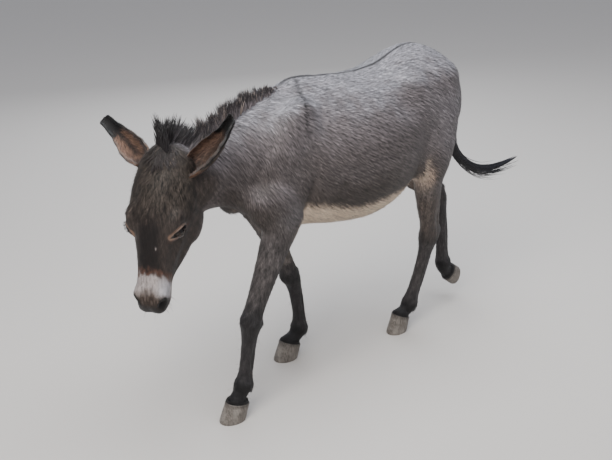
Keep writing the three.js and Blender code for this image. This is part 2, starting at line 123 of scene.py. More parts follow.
def route(points, tension=None):
    """A curve through points for t from 0 to 1, with equal shares between points. Each piece is a cubic
    whose end slopes are `tension` times the distance between the points beside it or, with none given,
    centripetal, which doesn't overshoot where points are uneven."""
    p = np.array(points, float)
    p = np.vstack([2 * p[0] - p[1], p, 2 * p[-1] - p[-2]])
    before, start, end, after = p[:-3], p[1:-2], p[2:-1], p[3:]
    if tension is None:
        gaps = np.sqrt(np.linalg.norm(np.diff(p, axis=0), axis=1))[:, None]
        g0, g1, g2 = gaps[:-2], gaps[1:-1], gaps[2:]
        leave = g1 * ((start - before) / g0 - (end - before) / (g0 + g1) + (end - start) / g1)
        arrive = g1 * ((end - start) / g1 - (after - start) / (g1 + g2) + (after - end) / g2)
    else:
        leave, arrive = tension * (end - before), tension * (after - start)

    def at(t):
        t = np.clip(np.asarray(t, float), 0, 1) * len(start)
        i = np.minimum(t.astype(int), len(start) - 1)
        s = (t - i)[..., None]
        place = (1 + 2 * s) * (1 - s) ** 2 * start[i] + s * s * (3 - 2 * s) * end[i]
        place = place + s * (1 - s) ** 2 * leave[i] + s * s * (s - 1) * arrive[i]
        slope = 6 * s * (s - 1) * (start[i] - end[i]) + (1 - s) * (1 - 3 * s) * leave[i]
        return place, unit(slope + s * (3 * s - 2) * arrive[i])

    return at


def spin(axis, degrees):
    """The matrix that turns by `degrees` about world axis 0, 1 or 2."""
    a = np.radians(degrees)
    m = np.eye(3)
    j, k = (axis + 1) % 3, (axis + 2) % 3
    m[j, j] = m[k, k] = np.cos(a)
    m[k, j], m[j, k] = np.sin(a), -np.sin(a)
    return m


def eased(a, b, count):
    """Values from a to b, closer together at both ends, so that round ends stay round."""
    t = np.linspace(0, 1, count)
    return a + (b - a) * (0.4 * t + 0.6 * (1 - np.cos(np.pi * t)) / 2)


def tube(centre, S, U, side, up, down, top=2.0, bottom=2.0, around=72):
    """Rings round a line of centres: x = side * cos^p and y = up or down * sin^p of the angle, along S and
    U, with p = 2 / power, so a power over 2 is boxier and one under 2 keener."""
    n = len(centre)
    angle = np.linspace(0, 2 * np.pi, around, endpoint=False)
    c, s = np.cos(angle), np.sin(angle)
    side, up, down, top, bottom = (np.broadcast_to(v, n)[:, None] for v in (side, up, down, top, bottom))
    power = 2 / np.where(s > 0, top, bottom)
    x = side * np.sign(c) * np.abs(c) ** power
    y = np.where(s > 0, up, down) * np.sign(s) * np.abs(s) ** power
    S, U = np.broadcast_to(S, (n, 3)), np.broadcast_to(U, (n, 3))
    return centre[:, None] + x[..., None] * S[:, None] + y[..., None] * U[:, None]


def shell(rings):
    """Points and triangles of a closed surface through rings, with a fan over each end, faces pointing
    out."""
    n, m = rings.shape[:2]
    points = np.vstack([rings.reshape(-1, 3), rings[0].mean(0), rings[-1].mean(0)])
    i, j = np.meshgrid(np.arange(n - 1), np.arange(m), indexing="ij")
    k = (j + 1) % m
    a, b, c, d = i * m + j, i * m + k, (i + 1) * m + k, (i + 1) * m + j
    j, k = np.arange(m), (np.arange(m) + 1) % m
    last = (n - 1) * m
    start_cap = np.stack([np.full(m, n * m), k, j], 1)
    end_cap = np.stack([np.full(m, n * m + 1), j + last, k + last], 1)
    walls = [np.stack(corners, -1).reshape(-1, 3) for corners in ((a, b, c), (a, c, d))]
    faces = np.vstack([*walls, start_cap, end_cap])
    p, q, r = (points[faces[:, f]] - points.mean(0) for f in range(3))
    if np.sum(p * np.cross(q, r)) < 0:
        faces = faces[:, ::-1]
    return points, faces


def gathered(parts):
    """Several (points, triangles) as one."""
    starts = np.cumsum([0] + [len(points) for points, _ in parts])
    faces = [f + s for (_, f), s in zip(parts, starts)]
    return np.vstack([points for points, _ in parts]), np.vstack(faces)


def egg(centre, axes, halves, around=40):
    """An ellipsoid: rings from pole to pole along the second axis."""
    turn = np.linspace(0, np.pi, around // 2 + 1)[1:-1]
    axes = np.array(axes)
    middle = np.array(centre) + np.outer(-halves[1] * np.cos(turn), axes[1])
    wide, tall = halves[0] * np.sin(turn), halves[2] * np.sin(turn)
    return shell(tube(middle, axes[0], axes[2], wide, tall, tall, around=around))


# ---- frames
pitch, yaw, roll = HEAD_TURN
# Columns: to the head's left, from the poll to the nose, and out of the forehead.
HEAD_AXES = (spin(2, yaw) @ spin(0, pitch) @ spin(1, roll)) * (1, -1, 1)


def in_head(side, along, out):
    """A place given in the head's frame: to its left, from the poll to the nose, and out of the
    forehead."""
    return POLL + np.stack(np.broadcast_arrays(side, along, out), -1) @ HEAD_AXES.T


def head_way(side, along, out):
    """A direction given in the head's frame."""
    return unit(np.array([side, along, out], float) @ HEAD_AXES.T)


low, high = (np.array(corner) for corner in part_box("eye_left"))
SHIFT = (low + high) / 2 / MM - in_head(*EYE_NODE)


def placed(points):
    """From the donkey's own frame, in millimetres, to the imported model's, in metres."""
    return (points + SHIFT) * MM


def added(name, data):
    """An object in the scene, at the origin, that shows a mesh, a light or a camera."""
    piece = bpy.data.objects.new(name, data)
    bpy.context.scene.collection.objects.link(piece)
    return piece


def smooth_mesh(name, points, faces):
    """A smooth mesh with its place in its points. `faces` is an array of triangles or of quads."""
    mesh = bpy.data.meshes.new(name)
    mesh.from_pydata(placed(points), [], faces)
    mesh.shade_smooth()
    return mesh


def note(mesh, name, kind, values):
    """Keeps a number or a vector at each point of a mesh, under a name that a material can read."""
    field = "value" if kind == "FLOAT" else "vector"
    mesh.attributes.new(name, kind, "POINT").data.foreach_set(field, values.astype(np.float32).ravel())


# ---- the tables of the flesh
# Trunk, from breast to buttocks: y, top, bottom, half width, widest line, powers of its top and bottom
# halves.
TRUNK = track([
    (CHEST_END, 810, 738, 34, 765, 2, 2),
    (-470, 900, 672, 92, 752, 2, 2),
    (-400, 968, 614, 126, 748, 1.9, 2),
    (-310, 1006, 556, 145, 752, 1.75, 2.1),
    (-225, WITHERS_HEIGHT, 546, 161, 765, 1.6, 2.2),
    (-100, 1026, 523, 188, 775, 1.85, 2.3),
    (20, LOIN_HEIGHT, 514, 203, 785, 2.1, 2.3),
    (120, 1024, 532, 196, 805, 2.1, 2.2),
    (200, 1055, 570, 178, 830, 2, 2.1),
    (280, CROUP_HEIGHT, 652, 160, 862, 1.9, 2),
    (360, 1051, 706, 146, 866, 1.9, 2),
    (430, 1000, 738, 116, 866, 2, 2),
    (RUMP_END, 930, 800, 46, 866, 2, 2),
])
# Muscles and bony points on both sides: place, half sizes, and how the top tilts to the rear.
MUSCLES = [
    ((96, -312, 850), (50, 88, 165), 30),
    ((98, -392, 690), (52, 78, 96), 12),
    ((52, -436, 722), (50, 48, 76), 0),
    ((112, 190, 948), (46, 76, 52), -10),
    ((84, 310, 922), (72, 126, 100), -20),
]
# Head, from behind the poll to the lips: along, forehead line, jaw line, half width, widest line, powers.
SKULL = track([
    (-48, -20, -75, 22, -48, 2, 2),
    (-30, 6, -104, 52, -52, 2, 2),
    (10, 27, -130, 74, -50, 2.1, 2),
    (70, 43, -144, 89, -44, 2.3, 2),
    (140, 50, -161, 94, -42, 2.4, 2),
    (205, 45, -175, 83, -42, 2.4, 2),
    (255, 34, -170, 69, -42, 2.4, 2.1),
    (310, 20, -144, 57, -42, 2.4, 2.2),
    (360, 8, -111, 51, -42, 2.4, 2.2),
    (405, 0, -97, 53, -44, 2.3, 2.2),
    (437, -11, -92, 49, -48, 2.2, 2.2),
    (456, -26, -82, 35, -52, 2, 2),
    (HEAD_LENGTH, -42, -70, 16, -56, 2, 2),
])
# Neck: share of the way, x, then y and z of the crest and of the throat, then half width.
NECK = track([
    (0, 0, -240, 1022, -330, 610, 122),
    (0.3, 0, -330, 996, -450, 648, 108),
    (0.55, 2, -430, 961, -520, 676, 91),
    (0.8, 12, -540, 909, -578, 688, 77),
    (1, 24, -640, 862, -625, 700, 66),
])
# Legs: number of the joint plus the share of the bone below it, shift forwards, half width, half depths to
# the front and back.
FORE_LEG = track([
    (0, 0, 56, 72, 84),
    (0.5, 0, 60, 74, 84),
    (1, 0, 56, 64, 72),
    (1.2, 0, 48, 54, 58),
    (1.5, 2, 39, 42, 42),
    (1.82, 3, 35, 34, 33),
    (1.95, 4, 38, 35, 34),
    (2.07, 3, 37, 34, 35),
    (2.22, 0, 29, 27, 30),
    (2.5, -3, 24, 24, 27),
    (2.8, -3, 26, 25, 29),
    (2.97, 0, 33, 30, 37),
    (3.12, 0, 32, 29, 35),
    (3.4, 2, 28, 27, 29),
    (3.75, 2, 32, 34, 31),
    (4, 2, 34, 37, 32),
])
HIND_LEG = track([
    (0, 0, 58, 110, 88),
    (0.5, 0, 62, 94, 94),
    (0.8, 0, 58, 74, 88),
    (1, 0, 54, 58, 82),
    (1.25, 0, 44, 50, 62),
    (1.55, 0, 36, 46, 48),
    (1.8, 0, 31, 40, 42),
    (1.94, 0, 34, 45, 46),
    (2.06, 0, 34, 44, 41),
    (2.24, 0, 28, 31, 30),
    (2.5, -2, 24, 26, 28),
    (2.8, -1, 25, 26, 30),
    (2.97, 0, 31, 30, 37),
    (3.12, 0, 30, 29, 36),
    (3.4, 2, 26, 26, 29),
    (3.75, 2, 29, 31, 31),
    (4, 2, 30, 33, 32),
])
TAIL_PATH = route([
    (0, 405, 978),
    (0, 466, 956),
    (0, 502, 900),
    (0, 508, 800),
    (0, 502, 725),
    (1, 504, 658),
    (4, 534, 608),
    (12, 580, 567),
    (20, 640, 540),
    (30, 710, 535),
    (38, 775, 545),
    (44, 822, 558),
])


# ---- the flesh
def trunk():
    """The trunk's rings, square to Y, from TRUNK."""
    y = eased(CHEST_END, RUMP_END, 140)
    top, bottom, side, wide, power_up, power_down = TRUNK(y).T
    depth = COAT["trunk"]
    centre = np.stack([0 * y, y, wide], 1)
    sizes = side - depth, top - wide - depth, wide - bottom - depth
    return shell(tube(centre, (1, 0, 0), (0, 0, 1), *sizes, power_up, power_down, 120))


def muscles():
    """Eggs under the skin of the shoulder, breast, hip and croup."""
    eggs = []
    for s in SIDES.values():
        for (x, y, z), halves, tilt in MUSCLES:
            eggs.append(egg((s * x, y, z), spin(0, -tilt).T, np.array(halves) - COAT["trunk"]))
    return eggs


def skull():
    """The head's rings, square to its own long axis, from SKULL."""
    along = eased(-48, HEAD_LENGTH, 120)
    top, bottom, side, wide, power_up, power_down = SKULL(along).T
    depth = COAT["head"]
    sizes = side - depth, top - wide - depth, wide - bottom - depth
    S, U = head_way(1, 0, 0), head_way(0, 0, 1)
    return shell(tube(in_head(0, along, wide), S, U, *sizes, power_up, power_down, 96))


def face():
    """Eggs under the brow, cheek, nostril and chin."""
    axes = HEAD_AXES.T
    depth = COAT["head"]
    eggs = [egg(in_head(0, 418, -84), axes, np.array((27, 30, 17)) - depth)]
    for s in SIDES.values():
        eggs.append(egg(in_head(s * 62, EYE_AT[1] - 30, 4), axes, np.array((30, 54, 28)) - depth))
        eggs.append(egg(in_head(s * 54, 160, -96), axes, np.array((36, 84, 68)) - depth))
        eggs.append(egg(in_head(s * 33, 418, -28), axes, np.array((22, 30, 22)) - depth))
    return eggs


def neck():
    """The neck's rings, each from its crest to its throat."""
    x, crest_y, crest_z, throat_y, throat_z, side = NECK(eased(0, 1, 70)).T
    crest, throat = np.stack([x, crest_y, crest_z], 1), np.stack([x, throat_y, throat_z], 1)
    depth = COAT["neck"]
    tall = np.linalg.norm(crest - throat, axis=1) / 2 - depth
    up = unit(crest - throat)
    return shell(tube((crest + throat) / 2, (1, 0, 0), up, side - depth, tall, tall, 1.7, 2, 96))


def bone(swing, lean):
    """The direction of a bone that swings forwards of straight down and leans to +X, in degrees."""
    a, b = np.radians(swing), np.radians(lean)
    return unit(np.array([np.sin(b) * np.cos(a), -np.sin(a) * np.cos(b), -np.cos(a) * np.cos(b)]))


def leg_joints(name):
    """The joints of a leg from its root down to the stub inside the hoof."""
    s = SIDES[name.split("_")[1]]
    root_y, turns = GAIT[name]
    if name.startswith("fore"):
        joints = [np.array([s * SHOULDER[0], *SHOULDER[1:]]), np.array([s * ELBOW[0], root_y, ELBOW[1]])]
        lengths = FORE_BONES
    else:
        joints = [np.array([s * HIP[0], root_y, HIP[2]])]
        lengths = HIND_BONES
    for length, (swing, lean) in zip(lengths, turns):
        joints.append(joints[-1] + length * bone(swing, s * lean))
    return joints


def ahead(way):
    """The part of straight forwards that is square to `way`."""
    forward = np.array([0.0, -1, 0])
    return unit(forward - way * dots(way, forward))


class Leg:
    """A leg's path, with the lines that its rings and its hoof are set on."""

    def __init__(self, name):
        joints = leg_joints(name)
        self.name, self.count = name, len(joints) - 1
        self.fore, self.side = name.startswith("fore"), SIDES[name.split("_")[1]]
        self.path = route(joints, 0.35)
        self.profile = FORE_LEG if self.fore else HIND_LEG
        way = unit(joints[-1] - joints[-2])
        self.planted = name != "hind_right"
        self.down = np.array([0.0, 0, -1]) if self.planted else bone(HANGING_SOLE, 0)
        self.normal = unit(way + self.down)
        self.coronet = joints[-1] - STUB * way

    def rings(self, keys):
        """Centre, sideways and forwards at each key: a joint's number plus the share of the bone below
        it."""
        place, way = self.path(np.asarray(keys) / self.count)
        side = unit(np.cross((0, -1, 0), way))
        forward = unit(np.cross(way, side))
        return place + self.profile(keys)[:, :1] * forward, side, forward

    def flesh(self):
        """The leg's rings, from its root inside the trunk to the stub inside the hoof."""
        keys = np.linspace(0, self.count, 160)
        centre, side, forward = self.rings(keys)
        _, half, front, back = self.profile(keys).T - COAT["leg"]
        return shell(tube(centre, side, forward, half, front, back, around=48))


LEGS = {name: Leg(name) for name in GAIT}


def dock():
    """The bony part of the tail, which ends inside the long hair."""
    t = np.linspace(0, 0.5, 60)
    place, way = TAIL_PATH(t)
    (half,) = track([(0, 32), (0.12, 26), (0.3, 18), (0.42, 12), (0.5, 3)])(t).T
    half = np.maximum(half - COAT["tail"], 2)
    return shell(tube(place, (1, 0, 0), np.cross((1, 0, 0), way), half, half, half, around=32))


# ---- work on whole meshes
def evaluated(piece):
    """The points and triangles of a piece with its modifiers applied, in the donkey's own frame."""
    bpy.context.view_layer.update()
    mesh = piece.evaluated_get(bpy.context.evaluated_depsgraph_get()).to_mesh()
    mesh.calc_loop_triangles()
    points = np.empty(len(mesh.vertices) * 3, np.float32)
    mesh.vertices.foreach_get("co", points)
    faces = np.empty(len(mesh.loop_triangles) * 3, np.int32)
    mesh.loop_triangles.foreach_get("vertices", faces)
    return points.reshape(-1, 3).astype(float) / MM - SHIFT, faces.reshape(-1, 3)


def edge_table(faces):
    """Each edge once, as a pair of points, and each face's three edges by number: 0-1, 1-2 and 2-0."""
    pairs = np.sort(faces[:, [[0, 1], [1, 2], [2, 0]]], axis=-1).reshape(-1, 2)
    edges, number = np.unique(pairs, axis=0, return_inverse=True)
    return edges, number.reshape(-1, 3)


def refined(points, faces, chosen):
    """Triangles split at the middle of each edge whose two ends are chosen: into four, three or two."""
    edges, of_face = edge_table(faces)
    split = chosen[edges].all(1)
    middle = np.where(split, len(points) + np.cumsum(split) - 1, -1)[of_face]
    points = np.vstack([points, points[edges[split]].mean(1)])
    count = (middle >= 0).sum(1)
    done = [faces[count == 0]]
    f, m = faces[count == 3], middle[count == 3]
    a, b, c, ab, bc, ca = *f.T, *m.T
    done += [np.stack(t, 1) for t in ((a, ab, ca), (ab, b, bc), (ca, bc, c), (ab, bc, ca))]
    for turn in range(3):
        f, m = np.roll(faces, -turn, axis=1), np.roll(middle, -turn, axis=1)
        one = (count == 1) & (m[:, 0] >= 0)
        a, b, c, ab = *f[one].T, m[one, 0]
        done += [np.stack(t, 1) for t in ((a, ab, c), (ab, b, c))]
        two = (count == 2) & (m[:, 2] < 0)
        a, b, c, ab, bc = *f[two].T, *m[two, :2].T
        done += [np.stack(t, 1) for t in ((a, ab, c), (ab, bc, c), (ab, b, bc))]
    return points, np.vstack(done)


class Web:
    """The edges of a mesh, for means over neighbouring points."""

    def __init__(self, count, faces):
        self.edges, _ = edge_table(faces)
        self.size = count
        self.valence = np.bincount(self.edges.ravel(), minlength=count)[:, None]

    def around(self, values):
        """The mean of each point's neighbours."""
        a, b = self.edges.T
        columns = [np.bincount(a, v[b], self.size) + np.bincount(b, v[a], self.size) for v in values.T]
        return np.stack(columns, 1) / self.valence

    def smoothed(self, values, rounds):
        """Each round moves values towards their neighbours' mean and then, a little further, back, which
        takes out small bumps and keeps the size."""
        for _ in range(rounds):
            for rate in (0.6, -0.62):
                values = values + rate * (self.around(values) - values)
        return values

    def relaxed(self, values, rounds, share):
        """Each round moves values half way to their neighbours' mean, times share."""
        for _ in range(rounds):
            values = values + 0.5 * share[:, None] * (self.around(values) - values)
        return values


def normals_of(points, faces):
    """Point normals: the sum of the crossed edges of the faces round each point."""
    a, b, c = (points[faces[:, k]] for k in range(3))
    across = np.cross(b - a, c - a)

    def gathered_along(axis):
        return sum(np.bincount(faces[:, k], across[:, axis], len(points)) for k in range(3))

    return unit(np.stack([gathered_along(axis) for axis in range(3)], 1))


# ---- one skin
VOXEL = 9.0  # size of the remesh's cells
whole = [trunk(), *muscles(), neck(), skull(), *face(), *(leg.flesh() for leg in LEGS.values()), dock()]
skin = added("skin_and_coat", smooth_mesh("flesh", *gathered(whole)))
remesh = skin.modifiers.new("one_skin", "REMESH")
remesh.mode = "VOXEL"
remesh.voxel_size = VOXEL * MM
flesh, faces = evaluated(skin)
skin.modifiers.remove(remesh)


def head_places(points):
    """Places in the head's frame: side, along and out."""
    return (points - POLL) @ HEAD_AXES


def head_share(points):
    """1 on the head and 0 behind a plane from the poll to the throat, with a soft change between."""
    _, along, out = head_places(points).T
    return step(-34, 34, along + 30 + 0.9 * (out + 20)) * step(-250, -200, out) * step(-900, -500, -along)


EYE_WAYS = {}  # out of the eye, towards its inner corner, and up across the lids
for side, s in SIDES.items():
    outward, inner = head_way(s * 0.85, -0.05, 0.52), head_way(s * -0.42, 0.7, 0.58)
    inner = unit(inner - outward * (inner @ outward))
    EYE_WAYS[side] = np.array([outward, inner, s * np.cross(inner, outward)])

def on_face_or_leg(points):
    """Where the skin is split once: on the head in front of the poll, and on the legs below 500 mm."""
    side, along, out = head_places(points).T
    on_head = (along > 60) & (along < 480) & (np.abs(side) < 130) & (out > -200) & (out < 90)
    return on_head | (points[:, 2] < 500)


def round_features(points):
    """Where it is split again: along the line between the lips, and round the eyes and nostrils."""
    _, along, out = head_places(points).T
    chosen = (along > 384) & (np.abs(out + 72) < 12)
    for s in SIDES.values():
        chosen |= np.linalg.norm(points - in_head(s * EYE_AT[0], *EYE_AT[1:]), axis=1) < 40
        chosen |= np.linalg.norm(points - in_head(s * 46, 437, -25), axis=1) < 26
    return chosen


for region, rounds in ((on_face_or_leg, 12), (round_features, 10)):
    flesh, faces = refined(flesh, faces, region(flesh))
    web = Web(len(flesh), faces)
    flesh = web.smoothed(flesh, rounds)


# ---- modelling the skin
def soft(points, at, axes, halves):
    """A soft bell at a place: exp(-r^2), with r measured in half sizes along the three rows of `axes`."""
    local = (points - np.array(at)) @ np.array(axes).T / np.array(halves, float)
    return np.exp(-np.sum(local * local, axis=1))


# Soft swellings (+) and hollows (-) of the trunk, on both sides: place, half sizes, tilt of the top to the
# rear, and height.
TRUNK_FORMS = [
    ((116, -296, 872), (60, 28, 120), 30, 4),  # spine of the shoulder blade
    ((84, -398, 846), (60, 17, 120), 30, -8),  # groove in front of the blade
    ((128, -206, 880), (60, 34, 120), 26, 3),  # filling behind the blade
    ((122, -222, 925), (50, 26, 60), 22, 6),
    ((122, -425, 762), (50, 40, 34), 0, -6),  # above the point of the shoulder
    ((104, -446, 730), (34, 34, 40), 0, 3),  # point of the shoulder
    ((138, -342, 700), (56, 50, 66), 16, 5),  # long muscle above the elbow
    ((150, -262, 672), (60, 18, 90), 12, -15),  # fold behind the elbow
    ((126, -304, 628), (30, 22, 26), 0, 9),  # point of the elbow
    ((70, -470, 700), (30, 30, 46), 0, 6),  # breast muscle
    ((0, -486, 720), (12, 40, 60), 0, -7),  # groove between the breast muscles
    ((132, 188, 960), (34, 40, 30), -8, 5),  # point of the hip
    ((170, 122, 912), (60, 44, 56), 0, -10),  # hollow of the flank
    ((196, -20, 800), (60, 170, 110), 0, 4),  # spring of the ribs
    ((124, 214, 664), (50, 13, 60), -20, 7),  # fold from the flank to the stifle
    ((86, 196, 600), (60, 22, 34), 0, -8),  # hollow in front of the stifle
    ((132, 392, 800), (50, 13, 120), 10, -7),  # groove down the back of the thigh
    ((132, 300, 780), (50, 60, 110), 0, 6),  # front of the thigh
    ((62, 466, 902), (26, 24, 26), 0, 8),  # point of the buttock
    ((0, 396, 1030), (9, 90, 40), 0, -5),  # channel of the croup
    ((0, 60, 1016), (16, 190, 20), 0, 4),  # line of the back
    ((0, -215, 1036), (14, 70, 24), 0, 4),  # withers
    ((0, 40, 518), (14, 200, 24), 0, -4),  # line of the belly
]


def both(key, out, *rest):
    """A leg's form on its outer side and again on its inner side."""
    return (key, out, *rest), (key, -out, *rest)


# Forms of a leg: key, shares of its half width outwards and of its half depth forwards, half sizes to the
# side, forwards and along, and height.
FETLOCK_FORMS = [
    *both(2.98, 1.0, -0.3, (10, 14, 16), 3),
    (3.05, 0, -1.0, (16, 14, 16), 6),  # tuft behind the fetlock
    (3.45, 0, -1.0, (20, 12, 16), -5),  # hollow of the pastern
    (3.92, 0, 1.0, (34, 14, 9), 2),  # coronet
]
FORE_FORMS = [
    (1.55, 0.9, 0.1, (16, 22, 60), 3),  # extensor muscle of the forearm
    (1.75, 0.2, -0.8, (14, 12, 50), -3),
    (1.96, 0, 1.0, (24, 16, 20), 5),  # flat front of the knee
    *both(2.02, 1.0, 0.3, (10, 14, 12), 4),
    (1.97, 0.2, -1.0, (13, 13, 18), 12),  # bone behind the knee
    (2.13, 0, 1.0, (24, 12, 12), -2),
    *both(2.55, 1.0, -0.35, (9, 6, 70), -5),  # groove before the tendons
    (2.5, 0, -1.0, (9, 10, 80), 4),  # tendons
    *FETLOCK_FORMS,
]
HIND_FORMS = [
    (0.62, 1.0, 0.35, (40, 34, 60), 6),  # outer muscle of the thigh
    (0.97, 0.3, 1.0, (30, 22, 30), 8),  # kneecap
    (1.12, 0.5, 1.0, (26, 16, 30), -4),
    (1.35, 0.9, 0.2, (18, 30, 70), 4),  # gaskin
    *both(1.7, 0.9, -0.5, (12, 13, 50), -8),  # hollow before the hamstring
    (1.66, 0, -1.0, (9, 10, 50), 5),  # hamstring
    (1.93, 0, -1.05, (13, 13, 17), 13),  # point of the hock
    (2.06, 1.0, 0.1, (10, 18, 16), 3),
    (2.06, -1.0, 0.1, (10, 18, 16), 4),
    (1.98, 0, 1.0, (20, 14, 22), -3),  # bend of the hock
    *both(2.55, 1.0, -0.35, (9, 6, 90), -5),  # groove before the tendons
    (2.5, 0, -1.0, (9, 10, 100), 4),
    *FETLOCK_FORMS,
]
# Forms of the head, on both sides: side, along and out, half sizes, and height.
HEAD_FORMS = [
    ((0, 95, 50), (34, 60, 30), 3),  # bulge of the forehead
    ((58, 128, 26), (20, 44, 22), -6),  # hollow above the eye
    ((70, 180, 20), (20, 26, 16), 6),  # brow
    ((66, 216, 28), (20, 30, 12), 4),  # bony rim above the eye
    ((88, 236, -26), (20, 34, 9), 3),  # bony rim below the eye
    ((76, 286, -44), (18, 74, 8), 6),  # ridge of the cheek
    ((66, 290, -16), (18, 60, 14), -6),  # hollow beside the nose
    ((92, 130, -86), (26, 60, 50), 5),  # cheek muscle
    ((70, 176, -140), (40, 62, 46), 10),  # round of the jaw
    ((66, 236, -134), (38, 46, 40), 13),
    ((56, 292, -112), (30, 44, 34), 7),
    ((50, 232, -140), (22, 40, 14), -4),
    ((60, 300, -80), (18, 50, 16), -5),  # hollow behind the lips
    ((0, 250, -176), (16, 100, 24), -16),  # channel between the jaws
    ((0, 330, 16), (20, 90, 14), 2),  # bridge of the nose
    ((38, 404, -16), (16, 22, 14), 5),  # rim above the nostril
    ((0, 452, -36), (8, 26, 16), -4),  # groove of the upper lip
    ((26, 455, -52), (18, 14, 16), 5),  # upper lip
    ((50, 412, -66), (14, 26, 9), 3),
    ((0, 432, -92), (22, 20, 14), 4),  # chin
    ((74, 20, -24), (26, 34, 30), 5),  # root of the ear
]


def mirrored(forms):
    """Forms on the middle line once, and all others once on each side."""
    return [(s, form) for form in forms for s in SIDES.values() if s > 0 or form[0][0] != 0]


def leg_form(leg, form):
    """A leg form's place, axes, half sizes and height."""
    key, out, forwards, halves, height = form
    centre, side, forward = (v[0] for v in leg.rings(np.array([key])))
    _, half, front, back = leg.profile(np.array([key]))[0]
    at = centre + leg.side * out * half * side + forwards * (front if forwards > 0 else back) * forward
    return at, (side, forward, np.cross(side, forward)), halves, height


def ribs(points, normals):
    """Faint waves on the flanks, square to the barrel's length, that lean forwards as they go down and fade
    out as a bell: height * cos(2 pi * place / spacing) * exp(-r^2)."""
    spacing, height = 44, 0.45
    _, y, z = points.T
    wave = height * np.cos(2 * np.pi * (y - 0.25 * (z - 780)) / spacing)
    bell = np.exp(-(((y + 10) / 130) ** 2) - ((z - 770) / 110) ** 2)
    return wave * bell * (np.abs(normals[:, 0]) > 0.5)


def modelled(points, normals):
    """How far each point of the skin moves along its normal: all the forms added up."""
    move = np.zeros(len(points))
    for s, ((x, y, z), halves, tilt, height) in mirrored(TRUNK_FORMS):
        move += height * soft(points, (s * x, y, z), spin(0, -tilt).T, halves)
    for s, ((side, along, out), halves, height) in mirrored(HEAD_FORMS):
        move += height * soft(points, in_head(s * side, along, out), HEAD_AXES.T, halves)
    for leg in LEGS.values():
        near = np.linalg.norm(points[:, :2] - leg.coronet[:2], axis=1) < 420
        for form in FORE_FORMS if leg.fore else HIND_FORMS:
            at, axes, halves, height = leg_form(leg, form)
            move[near] += height * soft(points[near], at, axes, halves)
    return move + ribs(points, normals)


torso = step(560, 700, flesh[:, 2]) * (1 - head_share(flesh)) * (1 - step(472, 486, flesh[:, 1]))
rough = flesh
flesh = web.relaxed(flesh, 56, torso)
flesh = web.relaxed(flesh, 6, 1 - torso)
# What the smoothing took off the round forms is put back, smoothed itself.
normals = normals_of(flesh, faces)
lost = web.relaxed(dots(rough - flesh, normals), 40, np.ones(len(flesh)))
flesh = flesh + np.clip(1.15 * lost, -16, 16) * normals * (1 - head_share(flesh))[:, None]
normals = normals_of(flesh, faces)
flesh = flesh + modelled(flesh, normals)[:, None] * normals
flesh = web.smoothed(flesh, 3)
normals = normals_of(flesh, faces)


# ---- eyes, nostrils and mouth in the skin
LID_HALF = (25.0, 6.6, 5.2)  # half length of the opening, and its half heights to the upper and lower lid
SOCKET = (35.0, 22.0)  # half sizes of the patch of skin that the lids cover


def eye_places(points, side):
    """Places in an eye's own frame, from the middle of the eyeball: to the inner corner, up, and out."""
    s = SIDES[side]
    out, inner, up = EYE_WAYS[side]
    return (points - in_head(s * EYE_AT[0], *EYE_AT[1:])) @ np.stack([inner, up, out], 1)


def from_eye(places, side):
    """Points from places in an eye's own frame."""
    s = SIDES[side]
    out, inner, up = EYE_WAYS[side]
    return in_head(s * EYE_AT[0], *EYE_AT[1:]) + places @ np.stack([inner, up, out])


def mouth_line(along):
    """How far out of the forehead the line between the lips runs: level in front and lower at its
    corners."""
    return -71 - 8 * step(440, 380, along)


def sunk_sockets(points):
    """The skin under the lids, sunk to a bowl whose depth is 4 mm + 14 mm * r^2, so that the eye fills
    it."""
    points = points.copy()
    for side in SIDES:
        x, y, z = eye_places(points, side).T
        reach = (x / SOCKET[0]) ** 2 + (y / SOCKET[1]) ** 2
        bowl = 4 + 14 * reach
        sunk = (reach < 1) & (z > 0) & (z > bowl)
        points[sunk] += (bowl - z)[sunk, None] * EYE_WAYS[side][0]
    return points


def opened_face(points, normals):
    """The furrow between the lips, exp(-(distance / 3 mm)^2) deep, and a soft bell of a pit in each
    nostril."""
    furrow, pit_depth = 5.5, 15
    _, along, out = head_places(points).T
    gape = np.exp(-(((out - mouth_line(along)) / 3.0) ** 2)) * step(372, 392, along)
    points = points - furrow * gape[:, None] * normals
    for s in SIDES.values():
        pit = soft(points, in_head(s * 45, 436, -25), HEAD_AXES.T, (11, 15, 10))
        points = points - pit_depth * pit[:, None] * head_way(s * 0.75, 0.5, 0.35)
    return points


flesh = opened_face(sunk_sockets(flesh), normals)
normals = normals_of(flesh, faces)


# ---- colour of the coat, with painted light and shade
def srgb(hexcode):
    """An sRGB hex colour as three shares from 0 to 1."""
    return np.array([int(hexcode[i : i + 2], 16) / 255 for i in (1, 3, 5)])


def linear(colour):
    """sRGB shares as linear light."""
    colour = np.clip(colour, 0, 1)
    return np.where(colour <= 0.04045, colour / 12.92, ((colour + 0.055) / 1.055) ** 2.4)


def mottle(points, size, seed):
    """Smooth noise from about -1 to 1, in patches of about `size`: a sum of eight waves in random
    directions."""
    rng = np.random.default_rng(seed)
    ways = unit(rng.normal(size=(8, 3))) * rng.uniform(0.6, 1.8, (8, 1)) * np.pi / size
    return np.sin(points @ ways.T + rng.uniform(0, 6.3, 8)).sum(1) / 2.8


